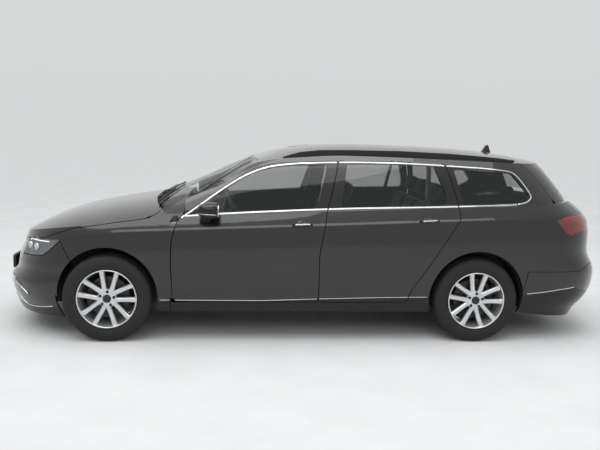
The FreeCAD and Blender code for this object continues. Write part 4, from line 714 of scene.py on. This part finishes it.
def addMirror(side, hand):
    # a rounded shell, painted above and black below, on a short foot, with its glass
    low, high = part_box("door_mirror_" + hand)
    outer = max(low.y * side, high.y * side)
    centre = np.array((0.773, outer - 0.0885, (high.z + low.z) / 2 + 0.020))
    half = np.array((0.085, 0.086, 0.062))
    flip = (1, side, 1)
    turns = np.linspace(0, 2 * np.pi, 48, endpoint=False)
    around, over = np.meshgrid(turns, np.linspace(-np.pi / 2, np.pi / 2, 25), indexing="ij")
    level = squarish(np.cos(over))
    shell = np.stack([level * squarish(np.cos(around)), level * squarish(np.sin(around)),
                      squarish(np.sin(over))], -1)
    cut = -0.82
    shell[..., 0] = np.where(shell[..., 0] < cut, cut + (shell[..., 0] - cut) * 0.12, shell[..., 0])
    shell[..., 1] *= 1 - 0.12 * shell[..., 0]
    shell[..., 2] *= 1 - 0.16 * shell[..., 0]
    points = (shell * half * (1, 0.93, 0.92) + centre) * flip
    door, node = "front_door_" + hand, "door_mirror_" + hand
    seam = 10
    for name, part, material, slot in (("mirrorShell_", points[:, seam:], paint, "car_paint"),
                                       ("mirrorBase_", points[:, :seam + 1], plastic, "black_plastic")):
        shape = part.reshape(-1, 3), gridFaces(part.shape[0], part.shape[1], True)
        addPiece(name + hand, shape, material, door, [node])
    # the seam's front part, as a line that overlaps at its start
    line = np.vstack([points[:, seam], points[:2, seam]])
    line = line[line[:, 0] > 0.715]
    line = line[np.argsort(np.arctan2(line[:, 1] * side - centre[1], line[:, 0] - centre[0]))]
    out = (line - centre * flip) * (1, 1, 0)
    bead = sweep(line, out, rounded(5 * mm, 4 * mm, 1.6 * mm, 3))
    addPiece("mirrorLine_" + hand, bead, chrome, door)
    back = points[..., 0].min()
    path = [(x, centre[1] * side, centre[2]) for x in (back - 0.0015, back + 0.004)]
    pane = sweep(path, (0, 0, 1), rounded(0.138, 0.086, 0.026, 6))
    addPiece("mirrorGlass_" + hand, pane, chrome, door)
    foot = [(0.800, 0.872, 0.925), (0.797, 0.890, 0.932), (0.790, 0.915, 0.945), (0.782, 0.940, 0.962)]
    stem = sweep(np.array(foot) * flip, (0, 0, 1), rounded(0.070, 0.034, 0.014, 5), (1.15, 1.05, 1, 1))
    addPiece("mirrorFoot_" + hand, stem, plastic, door, [node])


for side, hand in sides:
    addMirror(side, hand)

# Wipers: a blade over each half of the windscreen, with an arm over two thirds of it.
screenTree, _ = skinTree(["windscreen"])
screenOut = np.array((0.5, 0, 0.87))


def onScreen(x, y):
    # a place 9 mm above the windscreen, or nothing beside it
    hit = screenTree.ray_cast(Vector((x, y, 2)), Vector((0, 0, -1)))[0]
    return None if hit is None else np.array(hit) + screenOut * 0.009


for n, (foot, tip) in enumerate((((1.165, 0.62), (1.02, -0.02)), ((1.185, 0.02), (1.06, -0.60)))):
    blade = [onScreen(foot[0] + (tip[0] - foot[0]) * t, foot[1] + (tip[1] - foot[1]) * t)
             for t in np.linspace(0, 1, 40)]
    blade = np.array([point for point in blade if point is not None])
    rubber = sweep(blade, screenOut, rounded(14 * mm, 12 * mm, 4 * mm, 3))
    addPiece("wiperBlade%d" % n, rubber, sealRubber, "car_body")
    path = blade[:len(blade) * 2 // 3] + screenOut * 0.012
    arm = sweep(path, screenOut, rounded(12 * mm, 7 * mm, 3 * mm, 3))
    addPiece("wiperArm%d" % n, arm, plastic, "car_body")

# Blank plates on holders, laid on what carries them. The front one stays inside the box of the solids.
plateWhite = finish("blankPlate", ("#dfe0df", "#ecedec"), (0.3, 0.4), cell=25)
carEnds = {1: skinTree(["front_bumper", "grille"])[0], -1: skinTree(["tailgate", "rear_bumper"])[0]}
noseLimit = 2.3838


def outermost(way, y, z):
    # how far the car reaches at one place of its front, 1, or rear, -1
    hit = carEnds[way].ray_cast(Vector((way * 3, y, z)), Vector((-way, 0, 0)))[0]
    return noHit if hit is None else hit.x * way


for name, way, z, body in (("plateFront", 1, 0.478, "car_body"),
                           ("plateRear", -1, 0.745, bodyOf["tailgate"])):
    reach = max(outermost(way, y, z + dz) for y in np.linspace(-0.25, 0.25, 11) for dz in (-0.05, 0, 0.05))
    back = min(reach + 0.0006, noseLimit)
    path = [(way * back, 0, z), (way * (back + 0.002), 0, z)]
    addPiece(name, sweep(path, (0, 0, 1), rounded(0.520, 0.110, 0.010, 4)), plateWhite, body)
    front = min(outermost(way, y, z - 0.045) for y in (0, 0.12, 0.24))
    path = [(way * (front - 0.004), 0, z), (way * back, 0, z)]
    holder = sweep(path, (0, 0, 1), rounded(0.500, 0.098, 0.010, 4))
    addPiece(name + "Holder", holder, plastic, body)

# Rear wiper: a blade low on the rear window, with its arm over the half towards the middle.
rearTree, _ = skinTree(["rear_window"])
rearOut = (-0.7, 0, 0.7)
blade = []
for share in np.linspace(0, 1, 30):
    hit = rearTree.ray_cast(Vector((-3, 0.30 - 0.36 * share, 1.128 + 0.010 * share)), Vector((1, 0, 0)))[0]
    if hit is not None:
        blade.append((hit.x - 0.008, hit.y, hit.z + 0.006))
blade = np.array(blade)
rubber = sweep(blade, rearOut, rounded(11 * mm, 10 * mm, 3 * mm, 3))
addPiece("rearWiperBlade", rubber, sealRubber, bodyOf["tailgate"])
arm = sweep(blade[len(blade) // 2:] + (-0.008, 0, 0.007), rearOut, rounded(14 * mm, 8 * mm, 3 * mm, 3))
addPiece("rearWiperArm", arm, plastic, bodyOf["tailgate"])
print("mirrors, plates and wipers made")

# Seats: each soft solid becomes a stuffed cover, filled by a cloth simulation. Backs lean by 17 degrees.
leaning = Matrix.Rotation(math.radians(-17), 3, "Y")


def softShape(low, high, pivot=None):
    # a block, leant back about its pivot if it has one
    points, faces = slab(low, high)
    if pivot is not None:
        points = (points - pivot) @ np.array(leaning).T + pivot
    return points, faces


def evaluatedMesh(piece):
    return bpy.data.meshes.new_from_object(piece.evaluated_get(bpy.context.evaluated_depsgraph_get()))


def stuff(piece):
    # remeshed in 16 mm steps, then blown up by 14 mm at the most
    voxel, cap, steps = 0.016, 0.014, 14
    remesh = piece.modifiers.new("remesh", "REMESH")
    remesh.mode = "VOXEL"
    remesh.voxel_size = voxel
    smooth = piece.modifiers.new("smooth", "SMOOTH")
    smooth.iterations = 6
    applied = evaluatedMesh(piece)
    piece.modifiers.clear()
    piece.data = applied
    start = np.array([v.co for v in applied.vertices])
    cloth = piece.modifiers.new("fill", "CLOTH")
    cloth.settings.use_pressure = True
    cloth.settings.uniform_pressure_force = 4
    cloth.settings.effector_weights.gravity = 0
    cloth.settings.quality = 4
    cloth.collision_settings.use_collision = False
    cloth.point_cache.frame_end = steps
    for step in range(1, steps + 1):
        bpy.context.scene.frame_set(step)
        bpy.context.evaluated_depsgraph_get().update()
    filled = evaluatedMesh(piece)
    piece.modifiers.clear()
    bpy.context.scene.frame_set(1)
    shift = np.array([v.co for v in filled.vertices]) - start
    far = np.linalg.norm(shift, axis=1, keepdims=True)
    ends = start + shift * np.minimum(1, cap / np.maximum(far, 1e-9))
    applied.vertices.foreach_set("co", ends.ravel())
    applied.polygons.foreach_set("use_smooth", [True] * len(applied.polygons))
    applied.update()


def addSoft(name, shape, replaced=()):
    piece = addPiece(name, shape, finishes["seat_cloth"], "car_body")
    stuff(piece)
    if replaced:
        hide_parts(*replaced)


frontLow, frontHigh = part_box("front_seats")
benchLow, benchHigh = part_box("rear_bench")
edge = 0.012
upright = Matrix(((1, 0, 0), (0, 0, 1), (0, 1, 0)))
foot = np.array((frontHigh.x - 0.50, 0, frontLow.z + 0.02))
for side, hand in sides:
    low, high = sorted((side * 0.12, side * 0.62))
    y0, y1, middle = low + edge, high - edge, side * 0.37
    cushion = softShape((frontHigh.x - 0.49, y0, frontLow.z + 0.01),
                        (frontHigh.x - edge, y1, frontLow.z + 0.15))
    back = softShape((foot[0] + edge, y0, foot[2]), (foot[0] + 0.11, y1, foot[2] + 0.57), foot)
    rest = softShape((foot[0] + 0.005, middle - 0.12, foot[2] + 0.64),
                     (foot[0] + 0.085, middle + 0.12, foot[2] + 0.80), foot)
    addSoft("frontCushion_" + hand, cushion, ["front_seats"])
    addSoft("frontBackrest_" + hand, back)
    addSoft("frontHeadrest_" + hand, rest)
    post = moved(lathe([(0.0, 0.0003), (0.0, 0.006), (0.14, 0.006), (0.14, 0.0003)], 12), turn=upright)
    base = np.array(leaning @ Vector((0.045, 0, 0.53))) + foot
    posts = [moved(post, base + np.array((0, middle + dy, 0)), leaning) for dy in (-0.05, 0.05)]
    addPiece("headrestPosts_" + hand, merge(posts), finishes["bare_steel"], "car_body")
foot = np.array((benchHigh.x - 0.50, 0, benchLow.z + 0.02))
for n, (y0, y1) in enumerate(((-0.595, -0.20), (-0.195, 0.195), (0.20, 0.595))):
    middle = (y0 + y1) / 2
    cushion = softShape((benchHigh.x - 0.49, y0, benchLow.z + 0.01),
                        (benchHigh.x - edge, y1, benchLow.z + 0.15))
    back = softShape((foot[0] + edge, y0, foot[2]), (foot[0] + 0.11, y1, foot[2] + 0.60), foot)
    rest = softShape((foot[0] + 0.01, middle - 0.11, foot[2] + 0.63),
                     (foot[0] + 0.08, middle + 0.11, foot[2] + 0.76), foot)
    addSoft("benchCushion%d" % n, cushion, ["rear_bench"])
    addSoft("benchBackrest%d" % n, back)
    addSoft("benchHeadrest%d" % n, rest)
print("seats stuffed")

# Studio: pale floor and backdrop, with soft light from above and from the camera's side.
floor = bpy.data.meshes.new("studioFloor")
floor.from_pydata([(-40, -40, 0), (40, -40, 0), (40, 40, 0), (-40, 40, 0)], [], [(0, 1, 2, 3)])
ground = bpy.data.objects.new("studioFloor", floor)
bpy.context.scene.collection.objects.link(ground)
floor.materials.append(finish("paleFloor", ("#c4c5c6", "#cccdce"), 0.75, cell=400))
world = bpy.data.worlds.new("studioLight")
world.use_nodes = True
generated = addNode(world, "TexCoord").outputs["Generated"]
height = addNode(world, "SeparateXYZ", {"Vector": generated}).outputs["Z"]
shade = addNode(world, "ValToRGB", {"Fac": height})
setStops(shade, (0.0, "#dfe0e1"), (0.6, "#eceded"))
backdrop = world.node_tree.nodes["Background"]
world.node_tree.links.new(shade.outputs["Color"], backdrop.inputs["Color"])
backdrop.inputs["Strength"].default_value = 0.9
bpy.context.scene.world = world


def addLight(name, kind, power, where, towards, **settings):
    lamp = bpy.data.lights.new(name, kind)
    lamp.energy = power
    for key, value in settings.items():
        setattr(lamp, key, value)
    holder = bpy.data.objects.new(name, lamp)
    holder.location = where
    holder.rotation_euler = (Vector(towards) - Vector(where)).to_track_quat("-Z", "Y").to_euler()
    bpy.context.scene.collection.objects.link(holder)


addLight("overheadPanel", "AREA", 150, (0, 0.5, 5.2), (0, 0, 0), shape="RECTANGLE", size=7, size_y=4)
addLight("sidePanel", "AREA", 110, (0, 7.5, 4.2), (0, 0, 0.6), shape="RECTANGLE", size=8, size_y=2)
addLight("softDaylight", "SUN", 1.3, (0, 0, 0), (-0.25, -0.35, -1), angle=math.radians(50))
bpy.context.scene.view_settings.view_transform = "Standard"
print("studio set")
